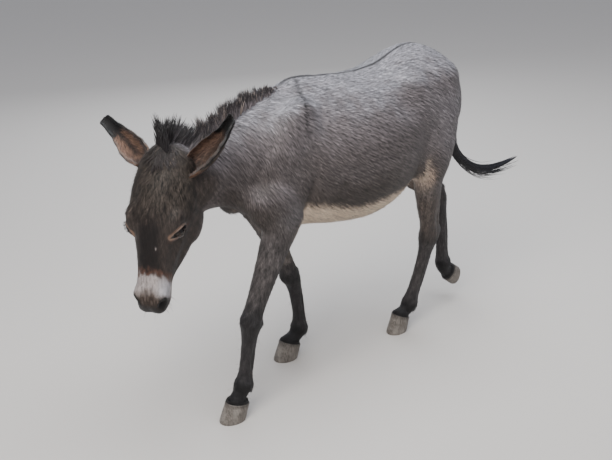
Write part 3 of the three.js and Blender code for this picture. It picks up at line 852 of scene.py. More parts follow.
DUN = srgb("#6e6768")  # grey-brown of the flank
PALE_GREY_AND_SHEEN = srgb("#8e8d93")  # bluish grey: painted sheen of sky light where the back faces up, and lighter patches on the flanks
SHADE_BROWN_GREY = srgb("#423b38")  # brown-grey: painted shade low on the sides, in the fold behind the elbow and over the bump above the point of the shoulder
DEEP_SHADE_BROWN = srgb("#38312d")  # dark brown: painted shade under the throat and where the lowest parts of the sides face down
CREAM = srgb("#d6c0a9")  # belly
THIGH = srgb("#b49c89")  # pale patch on the thigh
LEG_GREY = srgb("#4b4645")
HOCK = srgb("#5d4f45")
KNEE = srgb("#232122")
BLACK = srgb("#151314")
FACE_GREY = srgb("#3a322e")
FACE_BROWN = srgb("#150f0e")  # bridge of the nose
BROW = srgb("#423b35")
MUZZLE = srgb("#b0a6a3")
# painted sheen of sky light on the left side of the muzzle
MUZZLE_SKY_SHEEN = srgb("#bfc0c8")
RUST = srgb("#644538")  # border above the muzzle
SNOUT = srgb("#2a201a")
SNOUT_PALE = srgb("#6f6259")  # light strokes on the snout
NOSTRIL = srgb("#0b0908")
TAN = srgb("#7a5845")  # arc over the eye
LID_PALE = srgb("#66554a")
EYE_CORNER = srgb("#a58c78")
EAR_INSIDE = srgb("#5c473c")
EAR_EDGE = srgb("#8f6f5e")  # inside of an ear, towards its rims
EAR_RIM = srgb("#b39585")
EAR_BACK = srgb("#54463e")
EAR_ROOT = srgb("#7b563f")  # outside of an ear, at its base
EAR_WOOL = srgb("#9b7a66")  # palest hair inside an ear
MANE_DARK = srgb("#1d191b")
MANE_PALE = srgb("#7b7477")
MANE_TAN = srgb("#8d8079")
TAIL_BLACK = srgb("#17161b")
TAIL_GREY = srgb("#3a3a46")
TAIL_ROOT = srgb("#4d4846")
FORELOCK = srgb("#181414")
LASH = srgb("#141010")
WHISKER = srgb("#57504c")


def over(base, colour, share):
    """`colour` laid over `base` by a share from 0 to 1 at each point."""
    share = np.clip(share, 0, 1)[:, None]
    return base * (1 - share) + colour * share


def near_leg(points, leg):
    """For each point: the key of a leg's nearest ring, its place sideways and forwards of it, and the
    gap."""
    keys = np.linspace(0.6, leg.count, 160)
    centre, side, forward = leg.rings(keys)
    i = ((centre**2).sum(1) - 2 * points @ centre.T).argmin(1)
    away = points - centre[i]
    return keys[i], dots(away, side[i])[:, 0], dots(away, forward[i])[:, 0], np.linalg.norm(away, axis=1)


def leg_index(points):
    """Which leg each point belongs to, from 0 to 3 in the order of LEGS, or -1 on the rest of the body, and
    its key on that leg."""
    index, key = np.full(len(points), -1), np.zeros(len(points))
    best = np.full(len(points), 90.0)
    for i, leg in enumerate(LEGS.values()):
        low = np.flatnonzero(points[:, 2] < 660)
        k, _, _, gap = near_leg(points[low], leg)
        mine = (gap < best[low]) & (k > 0.9)
        index[low[mine]], key[low[mine]], best[low[mine]] = i, k[mine], gap[mine]
    return index, key


def flat_bell(points, at, halves):
    """A soft bell in side view, the same at any distance from the middle line: place and half sizes in y
    and z."""
    return soft(points * (0, 1, 1), (0, *at), np.eye(3), (1, *halves))


# Upper edge of the belly's cream: y and z.
BELLY_EDGE = [
    (-330, 596), (-290, 636), (-258, 652), (-222, 649), (-164, 628), (-104, 606), (-65, 603),
    (-25, 606), (15, 614), (60, 617), (120, 615), (165, 622), (200, 634), (225, 650),
]
# Front edge of the pale fold from the flank to the stifle: z and y.
FOLD_EDGE = [(625, 211), (655, 219), (690, 227), (715, 234)]


def along_edge(keys, edge):
    """The height of an edge, straight between its points, at each key."""
    return np.interp(keys, *np.array(edge, float).T)


def flank_colour(points, normals):
    """The trunk and neck: grey-brown, with painted light and shade. A painted sheen of bluish sky light lies
    where the back faces up; painted shade in brown-grey lies low on the sides, less of it behind, and darker
    where the lowest parts face down. The rear is lighter at mid-height, with a lighter patch at the elbow and
    one behind the top of the shoulder blade, painted shade over the bump above the point of the shoulder and in
    the fold behind the elbow, and painted shade under the throat."""
    _, y, z = points.T
    rough = mottle(points, 26, 3)
    up = normals[:, 2]
    rear = step(190, 320, y)
    colour = np.tile(DUN, (len(points), 1))
    # painted sheen of sky light: bluish grey on surfaces high on the body that face up
    colour = over(colour, PALE_GREY_AND_SHEEN, 0.8 * step(0.25, 0.95, up + 0.12 * rough) * step(830, 950, z))
    # painted shade low on the sides, where they face away from up; less of it behind
    low = step(900, 780, z + 14 * rough) * step(0.55, 0.1, up)
    colour = over(colour, SHADE_BROWN_GREY, 0.42 * (1 - 0.8 * rear) * low)
    colour = over(colour, PALE_GREY_AND_SHEEN, 0.22 * rear * step(1000, 900, z) * step(640, 760, z))
    # darker painted shade where the lowest parts of the sides face down
    lowest = step(770, 640, z + 14 * rough) * step(0.4, -0.3, up)
    colour = over(colour, DEEP_SHADE_BROWN, 0.85 * (1 - 0.5 * rear) * lowest)
    # painted shade over the bump above the point of the shoulder, which the light makes bright
    colour = over(colour, SHADE_BROWN_GREY, 0.6 * flat_bell(points, (-425, 756), (36, 36)))
    colour = over(colour, PALE_GREY_AND_SHEEN, 0.36 * flat_bell(points, (-360, 640), (60, 50)))
    colour = over(colour, PALE_GREY_AND_SHEEN, 0.35 * flat_bell(points, (-222, 925), (24, 50)))
    # painted shade in the fold behind the elbow
    colour = over(colour, SHADE_BROWN_GREY, 0.6 * soft(points, (0, -245, 680), np.eye(3), (400, 40, 110)))
    # painted shade under the throat, where it faces down
    return over(colour, DEEP_SHADE_BROWN, 0.9 * step(-420, -560, y) * step(0.1, -0.7, up))


def underside_colour(colour, points, normals):
    """Cream on the belly, with a ragged edge and up the fold of the flank, and paler thighs: a patch on the
    outside, from two bells, and the whole inside."""
    x, y, z = points.T
    across = np.abs(x)
    ragged = 4 * mottle(points * (1, 0.45, 1), 13, 5)
    belly = step(19, -15, z - along_edge(y, BELLY_EDGE) + ragged) * step(-360, -300, y) * step(262, 226, y)
    inside = step(0.35, 0.8, -np.sign(x) * normals[:, 0]) * step(760, 640, z) * step(90, 60, across)
    fold = np.exp(-(((y - along_edge(z, FOLD_EDGE)) / 7) ** 2))
    fold *= step(600, 635, z) * step(728, 690, z) * step(60, 100, across)
    upper = soft(points, (146, 238, 638), np.eye(3), (60, 19, 32))
    lower = soft(points, (134, 248, 582), np.eye(3), (60, 27, 44))
    colour = over(colour, CREAM, belly)
    colour = over(colour, THIGH, 0.85 * np.minimum(upper + 0.8 * lower, 1))
    colour = over(colour, THIGH, 0.5 * inside)
    return over(colour, CREAM, 0.7 * fold)


def cross_colour(colour, points, normals):
    """The dark cross: a stripe down the back and another across the shoulders, 10 to 15 mm wide, that both
    wander a little."""
    x, y, z = points.T
    wander = 2.5 * mottle(points, 60, 8)
    stripe = step(9, 3, np.abs(x + wander)) * step(0.3, 0.6, normals[:, 2]) * step(-300, -240, y)
    cross_y = -213 - 0.42 * np.minimum(np.abs(x), 130)
    cross = step(8, 3, np.abs(y - cross_y + wander)) * step(880, 960, z)
    colour = over(colour, BLACK, 0.75 * stripe)
    return over(colour, KNEE, 0.75 * cross)


def body_colour(points, normals):
    """The trunk and neck: the flanks, then the underside, then the cross on the back."""
    colour = underside_colour(flank_colour(points, normals), points, normals)
    return cross_colour(colour, points, normals)


def leg_colour(points, normals, index, key):
    """Legs: grey above, darker at the knee and hock, black from the fetlock down, and paler on their inner
    side."""
    s = np.where(index % 2 == 0, 1, -1)
    hind = index > 1
    rough = 0.05 * mottle(points, 20, 11)
    cannon = step(2.2, 2.4, key + rough) * step(2.85, 2.65, key + rough)
    colour = np.tile(LEG_GREY, (len(points), 1))
    colour = over(colour, CREAM, 0.42 * step(0.2, 0.9, -s * normals[:, 0]) * step(2.0, 1.3, key))
    colour = over(colour, DUN, 0.35 * step(1.5, 1.1, key))
    colour = over(colour, HOCK, 0.5 * hind * step(1.15, 1.4, key) * step(2.15, 1.95, key))
    colour = over(colour, KNEE, np.where(hind, 0.5, 0.9) * step(1.65, 1.95, key + rough))
    colour = over(colour, LEG_GREY, np.where(hind, 0.4, 0.2) * cannon)
    return over(colour, BLACK, 0.9 * step(2.86, 3.0, key + rough))


def muzzle_colour(colour, side, along, out, rough, streak):
    """From a rusty border forwards: a pale muzzle with a painted bluish sheen of sky light on its left side,
    then a dark snout with light strokes, a dark wing at each nostril, black lips and a dark chin. Under the jaw
    it is grey again."""
    border = 350 + 5 * rough + 0.18 * np.maximum(-out, 0) + 2 * np.cos(side / 8) + 3 * streak
    colour = over(colour, RUST, 0.75 * np.exp(-(((along - border + 7) / 9) ** 2)))
    colour = over(colour, MUZZLE * (0.95 + 0.06 * streak[:, None]), step(-6, 9, along - border))
    # painted sheen of sky light: bluish on the left side of the muzzle
    bluish = step(20, 48, side) * step(345, 380, along) * step(430, 400, along) * step(-70, -40, out)
    colour = over(colour, MUZZLE_SKY_SHEEN, 0.55 * bluish)
    snout = step(392, 430, along + 4 * rough + 6 * np.cos(side / 14)) * step(-84, -64, out)
    snout *= step(58, 40, np.abs(side))
    colour = over(colour, SNOUT, 0.92 * snout)
    colour = over(colour, SNOUT_PALE, 0.5 * snout * step(0.35, 0.9, streak) * step(452, 430, along))
    wing = step(32, 46, np.abs(side)) * step(-74, -56, out) * step(402, 424, along)
    colour = over(colour, NOSTRIL, 0.6 * wing)
    lips = np.exp(-(((out - mouth_line(along)) / 5.0) ** 2)) * step(378, 400, along)
    colour = over(colour, BLACK, 0.95 * lips)
    colour = over(colour, BLACK, 0.7 * step(436, 456, along) * snout)
    colour = over(colour, SNOUT, 0.6 * step(-78, -90, out) * step(395, 425, along))
    return over(colour, DUN, 0.5 * step(-95, -130, out) * step(380, 340, along))


def head_colour(points):
    """The head: dark grey-brown, lighter at brow and poll, nearly black-brown down the bridge of the nose.
    The muzzle, black nostrils of dark skin and painted shade, rims of the eyes and a pale fleck are laid over
    it."""
    side, along, out = head_places(points).T
    rough = mottle(points, 12, 21)
    streak = mottle(points * (3, 1, 1), 16, 22)
    colour = np.tile(FACE_GREY, (len(points), 1))
    colour = over(colour, BROW, 0.8 * step(210, 120, along + 12 * rough) * step(-60, 0, out))
    colour = over(colour, DUN, 0.3 * step(20, -30, along))
    bridge = step(46, 16, np.abs(side)) * step(-30, 5, out) * step(165, 235, along)
    colour = over(colour, FACE_BROWN, 0.92 * bridge)
    colour = muzzle_colour(colour, side, along, out, rough, streak)
    # black in each nostril: its dark skin, and painted shade of the opening's depth, wider than the pit
    for s, halves in ((LEFT, (16, 21, 16)), (RIGHT, (22, 26, 22))):
        hole = soft(points, in_head(s * 46, 435, -26), HEAD_AXES.T, halves)
        colour = over(colour, NOSTRIL, step(0.18, 0.4, hole))
    for eye in SIDES:
        colour = eye_colour(colour, eye_places(points, eye))
    fleck = np.exp(-(((side - 22) / 2.6) ** 2) - ((along - 274) / 3.4) ** 2 - ((out - 24) / 14) ** 2)
    return over(colour, MUZZLE, 0.9 * fleck)


def eye_colour(colour, places):
    """Round an eye: a black rim, brownish lids, a tan arc over the upper lid towards the inner corner, a
    pale fleck in that corner, and reddish brown below."""
    x, y, z = places.T
    half, upper, lower = LID_HALF
    reach = np.hypot(x / half, y / np.where(y > 0, upper, lower))
    arc = np.hypot(x / 33, y / np.where(y > 0, 15.5, 13))
    front = step(-14, -4, z)
    colour = over(colour, LID_PALE, 0.75 * step(1.25, 0.95, arc) * front)
    tan = np.exp(-(((arc - 1.02) / 0.13) ** 2)) * step(-24, 12, x + 0.8 * y) * np.where(y > 0, 1, 0.5)
    tan = tan * (0.85 + 0.25 * mottle(places, 7, 23))
    colour = over(colour, TAN, 0.52 * tan * front)
    red = np.exp(-(((arc - 1.35) / 0.4) ** 2)) * step(2, -8, y)
    colour = over(colour, RUST, 0.5 * red * front)
    corner = np.exp(-(((x - 28) / 7) ** 2) - ((y + 3) / 5) ** 2)
    colour = over(colour, EYE_CORNER, 0.7 * corner * front)
    return over(colour, BLACK, step(1.42, 1.12, reach) * front)


def zones(points):
    """Shares from 0 to 1 of head and tail at each point, and which leg it is on with its key."""
    head = head_share(points)
    tail = step(474, 484, points[:, 1]) * (np.abs(points[:, 0]) < 60) * (points[:, 2] > 520)
    index, key = leg_index(points)
    return head, tail, index, key


def markings_and_painted_light(points, normals):
    """The colour of the coat at any place on the skin, with the painted light and shade of the flanks, throat,
    muzzle and nostrils, as sRGB shares.
    """
    head, tail, index, key = zones(points)
    colour = body_colour(points, normals)
    on_leg = index >= 0
    legs = colour.copy()
    legs[on_leg] = leg_colour(points[on_leg], normals[on_leg], index[on_leg], key[on_leg])
    colour = over(colour, legs, np.where(on_leg, step(0.9, 1.35, key), 0))
    colour = over(colour, head_colour(points), head)
    return over(colour, KNEE, 0.8 * tail)


def set_colours(mesh, colours):
    """The coat's colours, as linear light, in the point attribute that the materials read."""
    layer = mesh.color_attributes.new("coat", "FLOAT_COLOR", "POINT")
    rgba = np.ones((len(colours), 4), np.float32)
    rgba[:, :3] = linear(colours)
    layer.data.foreach_set("color", rgba.ravel())


# ---- skin piece
def painted_mesh(name, points, faces, colours):
    """A smooth mesh with the coat's colours."""
    mesh = smooth_mesh(name, points, faces)
    set_colours(mesh, colours)
    return mesh


FLESH_NODES = ["head", "muzzle", "neck", "forequarters", "barrel", "hindquarters", "tail_dock"]
for leg in LEGS.values():
    upper = "forearm" if leg.fore else "gaskin"
    FLESH_NODES += [f"{leg.name}_{part}" for part in (upper, "cannon", "pastern")]
faint_patches = 1 + 0.05 * mottle(flesh, 30, 31)
skin.data = painted_mesh("skin", flesh, faces, markings_and_painted_light(flesh, normals) * faint_patches[:, None])
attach(skin, "root")
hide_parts(*FLESH_NODES)


def ring_faces(rows, columns):
    """Quads between rings of points, stored ring by ring, each ring closed on itself."""
    i, j = np.meshgrid(np.arange(rows - 1), np.arange(columns), indexing="ij")
    k = (j + 1) % columns
    corners = [i * columns + j, i * columns + k, (i + 1) * columns + k, (i + 1) * columns + j]
    return np.stack(corners, -1).reshape(-1, 4)


# ---- eyes and lids
def eyeball(side):
    """A ball with a clear bulge in front: rings about the axis that looks out, with radius R * sin and
    depth R * cos, and 1.6 mm more depth inside the cornea."""
    rows, around = 40, 56
    turn = np.linspace(0.002, np.pi - 0.002, rows)
    depth = EYE_RADIUS * np.cos(turn) + 1.6 * np.exp(-((turn / 0.5) ** 2))
    angle = np.linspace(0, 2 * np.pi, around, endpoint=False)
    wide = EYE_RADIUS * np.sin(turn)[:, None]
    places = np.stack([wide * np.cos(angle), wide * np.sin(angle), np.repeat(depth[:, None], around, 1)], -1)
    points, triangles = shell(from_eye(places.reshape(-1, 3), side).reshape(rows, around, 3))
    piece = added(f"eyeball_{side}", smooth_mesh(f"eyeball_{side}", points, triangles))
    note(piece.data, "gaze", "FLOAT_VECTOR", eye_places(points, side))
    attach(piece, "root")
    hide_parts(f"eye_{side}")
    return piece


def opening(angle):
    """The almond between the lids: x = half length * cos, y = half height * sin^1.25, with keen corners."""
    half, upper, lower = LID_HALF
    s = np.sin(angle)
    tall = np.where(s > 0, upper, lower)
    return half * np.cos(angle), tall * np.sign(s) * np.abs(s) ** 1.25


def height_of_skin(side, x, y):
    """How far out the skin lies at places round an eye: a mean of its points, weighted by exp(-gap^2 /
    8)."""
    near = eye_places(flesh, side)
    near = near[(np.abs(near[:, 0]) < 60) & (np.abs(near[:, 1]) < 50) & (near[:, 2] > -25)]
    gap = (near[:, 0] - x[:, None]) ** 2 + (near[:, 1] - y[:, None]) ** 2
    weight = np.exp(-gap / 8)
    return (weight * near[:, 2]).sum(1) / weight.sum(1)


def lids(side):
    """Both lids as one ring: straight lines from the almond on the ball to an oval just inside the skin,
    swollen by sines of the share of the way, creased by bells, and turned in at the margin."""
    around, rows = 96, 18
    angle = np.linspace(0, 2 * np.pi, around, endpoint=False)
    x, y = opening(angle)
    ball = np.sqrt(np.maximum((EYE_RADIUS + 0.6) ** 2 - x**2 - y**2, 60))
    fade = step(15, 26, np.abs(x))
    inner = np.stack([x, y, ball * (1 - fade) + fade * 9.0], 1)
    outer_x, outer_y = SOCKET[0] * 1.06 * np.cos(angle), SOCKET[1] * 1.06 * np.sin(angle)
    outer = np.stack([outer_x, outer_y, height_of_skin(side, outer_x, outer_y) - 1.0], 1)
    t = np.linspace(0, 1, rows)[:, None, None]
    upper = step(-0.2, 0.9, np.sin(angle))[None, :, None]
    swell_out = 3.4 * np.sin(np.pi * np.clip(t / 0.55, 0, 1)) + 2.0 * np.sin(np.pi * t)
    crease = -2.2 * upper * np.exp(-(((t - 0.5) / 0.07) ** 2))
    ridge = 1.4 * upper * np.exp(-(((t - 0.66) / 0.1) ** 2))
    low_crease = -1.0 * (1 - upper) * np.exp(-(((t - 0.42) / 0.06) ** 2))
    places = inner * (1 - t) + outer * t
    places = places + (swell_out + (crease + ridge + low_crease)) * np.array([0, 0, 1.0])
    margin = np.stack([x * 0.985, y * 0.9, inner[:, 2] - 3.0], 1)[None]
    places = np.vstack([margin, places]).reshape(-1, 3)
    points = from_eye(places, side)
    quads = ring_faces(rows + 1, around)
    if SIDES[side] < 0:
        quads = quads[:, ::-1]
    outwards = np.tile(EYE_WAYS[side][0], (len(points), 1))
    colours = eye_colour(markings_and_painted_light(points, outwards), places)
    piece = added(f"eyelids_{side}", painted_mesh(f"eyelids_{side}", points, quads, colours))
    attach(piece, "root")
    return piece


# ---- hooves
# Toe, heel and side from the hoof's middle line, and its slope forwards as a share of its height.
FORE_HOOF = (47, 39, 38, 0.42)
HIND_HOOF = (42, 36, 33, 0.36)


def hoof(leg):
    """A cone of horn: rings from the coronet to the sole whose size grows with the share t of the way down,
    with growth rings as sine waves of the height, a notch at the heel, and a flat sole with a shallow
    hollow."""
    around, ring_spacing, notch_depth = 64, 6.5, 6
    toe, heel, half, slope = FORE_HOOF if leg.fore else HIND_HOOF
    height = leg.coronet[2] if leg.planted else HANGING_HOOF
    sole = leg.coronet + height * leg.down + height * slope * ahead(leg.down)
    t = np.concatenate([np.linspace(0, 0.93, 44), [0.96, 0.985, 1, 1, 1, 1]])
    axis = unit(leg.normal * (1 - t[:, None]) + leg.down * t[:, None])
    U = ahead(axis)
    S = np.cross(U, axis)
    grow = np.interp(t, [0, 0.06, 0.12, 0.9, 0.96, 1], [0.9, 0.93, 0.915, 0.99, 0.985, 0.95])
    grow += 0.006 * np.sin(t * height * 2 * np.pi / ring_spacing) * (t < 0.9)
    grow[-3:] = (0.86, 0.6, 0.25)
    centre = leg.coronet * (1 - t[:, None]) + sole * t[:, None] + 0.3 * leg.normal
    centre[-2:] -= leg.down * np.array([[2.0], [3.0]])
    rings = tube(centre, S, U, half * grow, toe * grow, heel * grow, 2, 2.6, around)
    angle = np.linspace(0, 2 * np.pi, around, endpoint=False)
    notch = np.exp(-(((angle - 1.5 * np.pi) / 0.22) ** 2)) * np.interp(t, [0, 0.3, 1], [0, 0.4, 1])[:, None]
    points, triangles = shell(rings + (notch_depth * notch)[..., None] * U[:, None])
    piece = added(f"horn_{leg.name}", smooth_mesh(f"horn_{leg.name}", points, triangles))
    note(piece.data, "down_wall", "FLOAT", np.concatenate([np.repeat(t, around), [0, 1]]))
    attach(piece, "root")
    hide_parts(f"{leg.name}_hoof")
    return piece


# ---- ears
EAR_LENGTHS = {"left": 226.0, "right": 240.0}
# Share of the length, half width, depth of the cup and thickness of the wall.
EAR_LEAF = track([
    (0, 30, 33, 6),
    (0.15, 38, 33, 6),
    (0.32, 41, 29, 5.5),
    (0.52, 35, 22, 5),
    (0.7, 27, 15, 5),
    (0.85, 22, 11, 5),
    (0.94, 20, 8.5, 4.5),
    (0.985, 16.5, 6.5, 3.5),
    (1, 8, 3, 2),
])
# Base, way to the tip and way out of the cup.
EARS = {
    "left": (in_head(68, 40, -36), unit(np.array([127.0, 96, 178])), np.array([0.21, -0.84, 0.4])),
    "right": (in_head(-68, 22, -24), unit(np.array([-205.0, -12, 82])), np.array([0.26, -0.67, 0.7])),
}


def ear_frame(side):
    """An ear's base, and its ways from base to tip, out of its cup, and across."""
    base, way, mouth = EARS[side]
    mouth = unit(mouth - way * (mouth @ way))
    return base, way, mouth, np.cross(way, mouth)


def ear_sheet(side, t, turn, inset):
    """Points of an ear's leaf at shares t of its length, and at `turn` from -1 at one rim to 1 at the
    other: x = half width * cos and y = cup depth * (0.35 - sin) of the angle, bent back by 20 mm * sin(pi
    t), with rims that wave a little."""
    base, way, mouth, across = ear_frame(side)
    half, cup, _ = np.moveaxis(EAR_LEAF(t), -1, 0)
    angle = np.pi / 2 - turn * np.pi * 0.57
    wave = (1.6 * np.sin(9 * t + 2 * turn) + 1.1 * np.sin(31 * t + 5 * turn)) * np.abs(turn) ** 3
    x = (half - inset + wave) * np.cos(angle)
    y = (cup - inset) * (0.35 - np.sin(angle)) - 20 * np.sin(np.pi * t)
    along = t * EAR_LENGTHS[side] + 0 * turn
    return base + along[..., None] * way + x[..., None] * across + y[..., None] * mouth


# How pale an ear is inside: its edge, its rim, the dark band down its middle (dark hair and painted shade of
# the hollow), and the hair in it.
EAR_TONES = {"left": (0.35, 0.1, 0.5, 0.5), "right": (0.7, 0.6, 1, 1)}


def ear_colour(side, t, turn, inside):
    """An ear inside: reddish brown with a paler rim, a dark band down its middle of dark hair and painted shade
    in the hollow of the cup, and a black base patch.
    Outside: grey-brown with dark edges. Its last third is black."""
    points = ear_sheet(side, t, turn, 0).reshape(-1, 3)
    t, turn = t.ravel(), turn.ravel()
    rough = 0.03 * mottle(points, 14, 41)
    edge = np.abs(turn + rough)
    low = step(0.1, 0.3, t)
    if inside:
        pale_edge, pale_rim, band, _ = EAR_TONES[side]
        colour = np.tile(EAR_INSIDE, (len(t), 1))
        colour = over(colour, EAR_EDGE, step(0.45, 0.8, edge) * pale_edge)
        colour = over(colour, EAR_RIM, step(0.86, 0.98, edge) * pale_rim * step(0.75, 0.5, t))
        # the band down the middle: dark hair, and painted shade in the hollow of the cup
        colour = over(colour, BLACK, 0.9 * step(0.26, 0.1, edge) * low * band)
        colour = over(colour, BLACK, 0.85 * step(0.2, 0.06, t + 2 * rough) * step(0.95, 0.6, edge))
    else:
        colour = np.tile(EAR_BACK, (len(t), 1))
        colour = over(colour, DUN, 0.5 * step(0.8, 0.2, edge))
        colour = over(colour, EAR_ROOT, 0.7 * step(0.25, 0.05, t))
        colour = over(colour, BLACK, 0.9 * step(0.8, 0.97, edge) * low)
    return over(colour, BLACK, 0.97 * step(0.63, 0.75, t + rough + 0.06 * np.abs(turn)))


def ear(side):
    """An ear as a closed leaf: one sheet over the back, round the rim, and one sheet inside the cup."""
    rows, half_around = 70, 36
    turn = np.sin(np.linspace(-1, 1, half_around) * np.pi / 2)
    t, turn = np.meshgrid(eased(0, 1, rows), turn, indexing="ij")
    wall = EAR_LEAF(t[:, 0])[:, 2][:, None]
    back = ear_sheet(side, t, turn, 1.5)
    cup = ear_sheet(side, t, turn * 0.985, wall - 1.0)
    shape = (rows, half_around, 3)
    outside, inside = (ear_colour(side, t, turn, face).reshape(shape) for face in (False, True))
    colours = np.concatenate([outside, inside[:, ::-1]], 1)
    points, triangles = shell(np.concatenate([back, cup[:, ::-1]], 1))
    colours = np.vstack([colours.reshape(-1, 3), colours[0].mean(0), colours[-1].mean(0)])
    piece = added(f"ear_leaf_{side}", painted_mesh(f"ear_leaf_{side}", points, triangles, colours))
    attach(piece, "root")
    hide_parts(f"ear_{side}")
    return piece


# ---- tufts and strands
def joined(name, points, triangles, outs, colours, places, material):
    """One piece from arrays: points, triangles, and at each point which way the surface seems to look, a
    colour and a place on the unwrapped skin."""
    points, triangles, outs, colours = (v.reshape(-1, 3) for v in (points, triangles, outs, colours))
    mesh = bpy.data.meshes.new(name)
    mesh.vertices.add(len(points))
    mesh.vertices.foreach_set("co", placed(points).astype(np.float32).ravel())
    mesh.loops.add(triangles.size)
    mesh.loops.foreach_set("vertex_index", triangles.astype(np.int32).ravel())
    mesh.polygons.add(len(triangles))
    mesh.polygons.foreach_set("loop_start", np.arange(0, triangles.size, 3, dtype=np.int32))
    mesh.update(calc_edges=True)
    unwrapping = places.reshape(-1, 2)[triangles.ravel()].astype(np.float32)
    mesh.uv_layers.new(name="OFBake").uv.foreach_set("vector", unwrapping.ravel())
    set_colours(mesh, colours)
    mesh.shade_smooth()
    mesh.normals_split_custom_set_from_vertices(unit(outs).astype(np.float32))
    mesh.materials.append(material)
    piece = added(name, mesh)
    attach(piece, "root")
    return piece


HAIR_PATCH = 0.003  # side of the square that one hair takes up on the unwrapped skin
MOST_TUFTS = 48000  # tufts in one piece, which makes 192,000 triangles


def tufts(name, roots, ways, outs, sizes, colours, places, slot, material):
    """Closed spikes of four faces. Each has two root corners w / 2 to each side, one below them, and a tip
    at root + length * way + lift * out. `sizes` is length, width w and lift."""
    spike = np.array([(0, 1, 3), (0, 3, 2), (2, 3, 1), (0, 2, 1)])
    shade = np.array([0.86, 0.86, 0.7, 1.08])[:, None]  # darker roots and lighter tips
    patch = HAIR_PATCH * np.array([(-0.5, -0.5), (0.5, -0.5), (0, 0), (0, 0.5)])
    for number, start in enumerate(range(0, len(roots), MOST_TUFTS)):
        part = slice(start, start + MOST_TUFTS)
        root, way, out, colour = roots[part], ways[part], outs[part], colours[part]
        length, width, lift = (sizes[part, k : k + 1] for k in range(3))
        across = np.cross(out, way) * width / 2
        base = root - 0.5 * out
        below, tip = base - 0.5 * width * out, root + length * way + lift * out
        corners = np.stack([base + across, base - across, below, tip], 1)
        faces = 4 * np.arange(len(root))[:, None, None] + spike
        seem = np.repeat((out + 0.16 * unit(way * lift / length))[:, None], 4, 1)
        seem[:, 0] += 0.3 * unit(across)
        seem[:, 1] -= 0.3 * unit(across)
        flat = places[part, None] + patch
        joined(f"{name}_{number + 1}", corners, faces, seem, colour[:, None] * shade, flat, material)


def strands(name, spine, half, up, colours, places, material):
    """Closed three-sided hairs: `spine` is n hairs of k + 1 points, `half` their half widths at the first
    k, `up` a way across them, and `colours` one for each point of the spine. The last point is the tip."""
    n, count = spine.shape[:2]
    k = count - 1
    way = unit(np.gradient(spine, axis=1))
    side = unit(np.cross(up, way))
    top = np.cross(way, side)
    angle = 2 * np.pi * np.arange(3) / 3 + np.pi / 2
    spread = side[:, :k, None] * np.cos(angle)[:, None] + top[:, :k, None] * np.sin(angle)[:, None]
    rings = spine[:, :k, None] + half[:, :k, None, None] * spread
    points = np.concatenate([rings.reshape(n, 3 * k, 3), spine[:, k:]], 1)
    outs = np.concatenate([spread.reshape(n, 3 * k, 3), way[:, k:]], 1) + 0.8 * up
    shades = np.concatenate([np.repeat(colours[:, :k], 3, 1), colours[:, k:]], 1)
    a = np.arange(3)
    b = (a + 1) % 3
    faces = [np.array([(0, 2, 1)])]
    for low in range(0, 3 * k - 3, 3):
        high = low + 3
        faces += [np.stack([low + a, low + b, high + b], 1), np.stack([low + a, high + b, high + a], 1)]
    faces.append(np.stack([3 * k - 3 + a, 3 * k - 3 + b, np.full(3, 3 * k)], 1))
    faces = np.vstack(faces) + (3 * k + 1) * np.arange(n)[:, None, None]
    along = np.concatenate([np.repeat(np.arange(k), 3), [k]]) / k
    across = np.concatenate([np.tile([-0.5, 0, 0.5], k), [0]])
    flat = places[:, None] + HAIR_PATCH * np.stack([across, along - 0.5], 1)
    return joined(name, points, faces, outs, shades, flat, material)


# ---- materials
def material(name, roughness, sheen=0.0, specular=0.5):
    """A material with its constants on the shader's own sockets."""
    made = bpy.data.materials.new(name)
    made.use_nodes = True
    shader = made.node_tree.nodes["Principled BSDF"]
    shader.inputs["Roughness"].default_value = roughness
    shader.inputs["Sheen Weight"].default_value = sheen
    shader.inputs["Sheen Roughness"].default_value = 0.4
    shader.inputs["Specular IOR Level"].default_value = specular
    return made


def node(made, kind, settings=None, links=None):
    """Adds a node. `settings` has its properties, values of its inputs by name or number, and the stops of
    a ramp. `links` joins its inputs to other nodes' outputs."""
    new = made.node_tree.nodes.new("ShaderNode" + kind)
    for key, value in (settings or {}).items():
        if key == "stops":
            elements = new.color_ramp.elements
            for at, _ in value[1:-1]:
                elements.new(at)
            for element, (at, colour) in zip(elements, value):
                element.position = at
                element.color = (*linear(srgb(colour)), 1)
        elif isinstance(key, str) and hasattr(new, key):
            setattr(new, key, value)
        else:
            new.inputs[key].default_value = value
    for key, output in (links or {}).items():
        made.node_tree.links.new(output, new.inputs[key])
    return new


def finished(made, colour, bump=None):
    """The material, with outputs of its nodes joined to the shader's base colour and normal."""
    shader = made.node_tree.nodes["Principled BSDF"]
    made.node_tree.links.new(colour, shader.inputs["Base Color"])
    if bump:
        made.node_tree.links.new(bump.outputs[0], shader.inputs["Normal"])
    return made


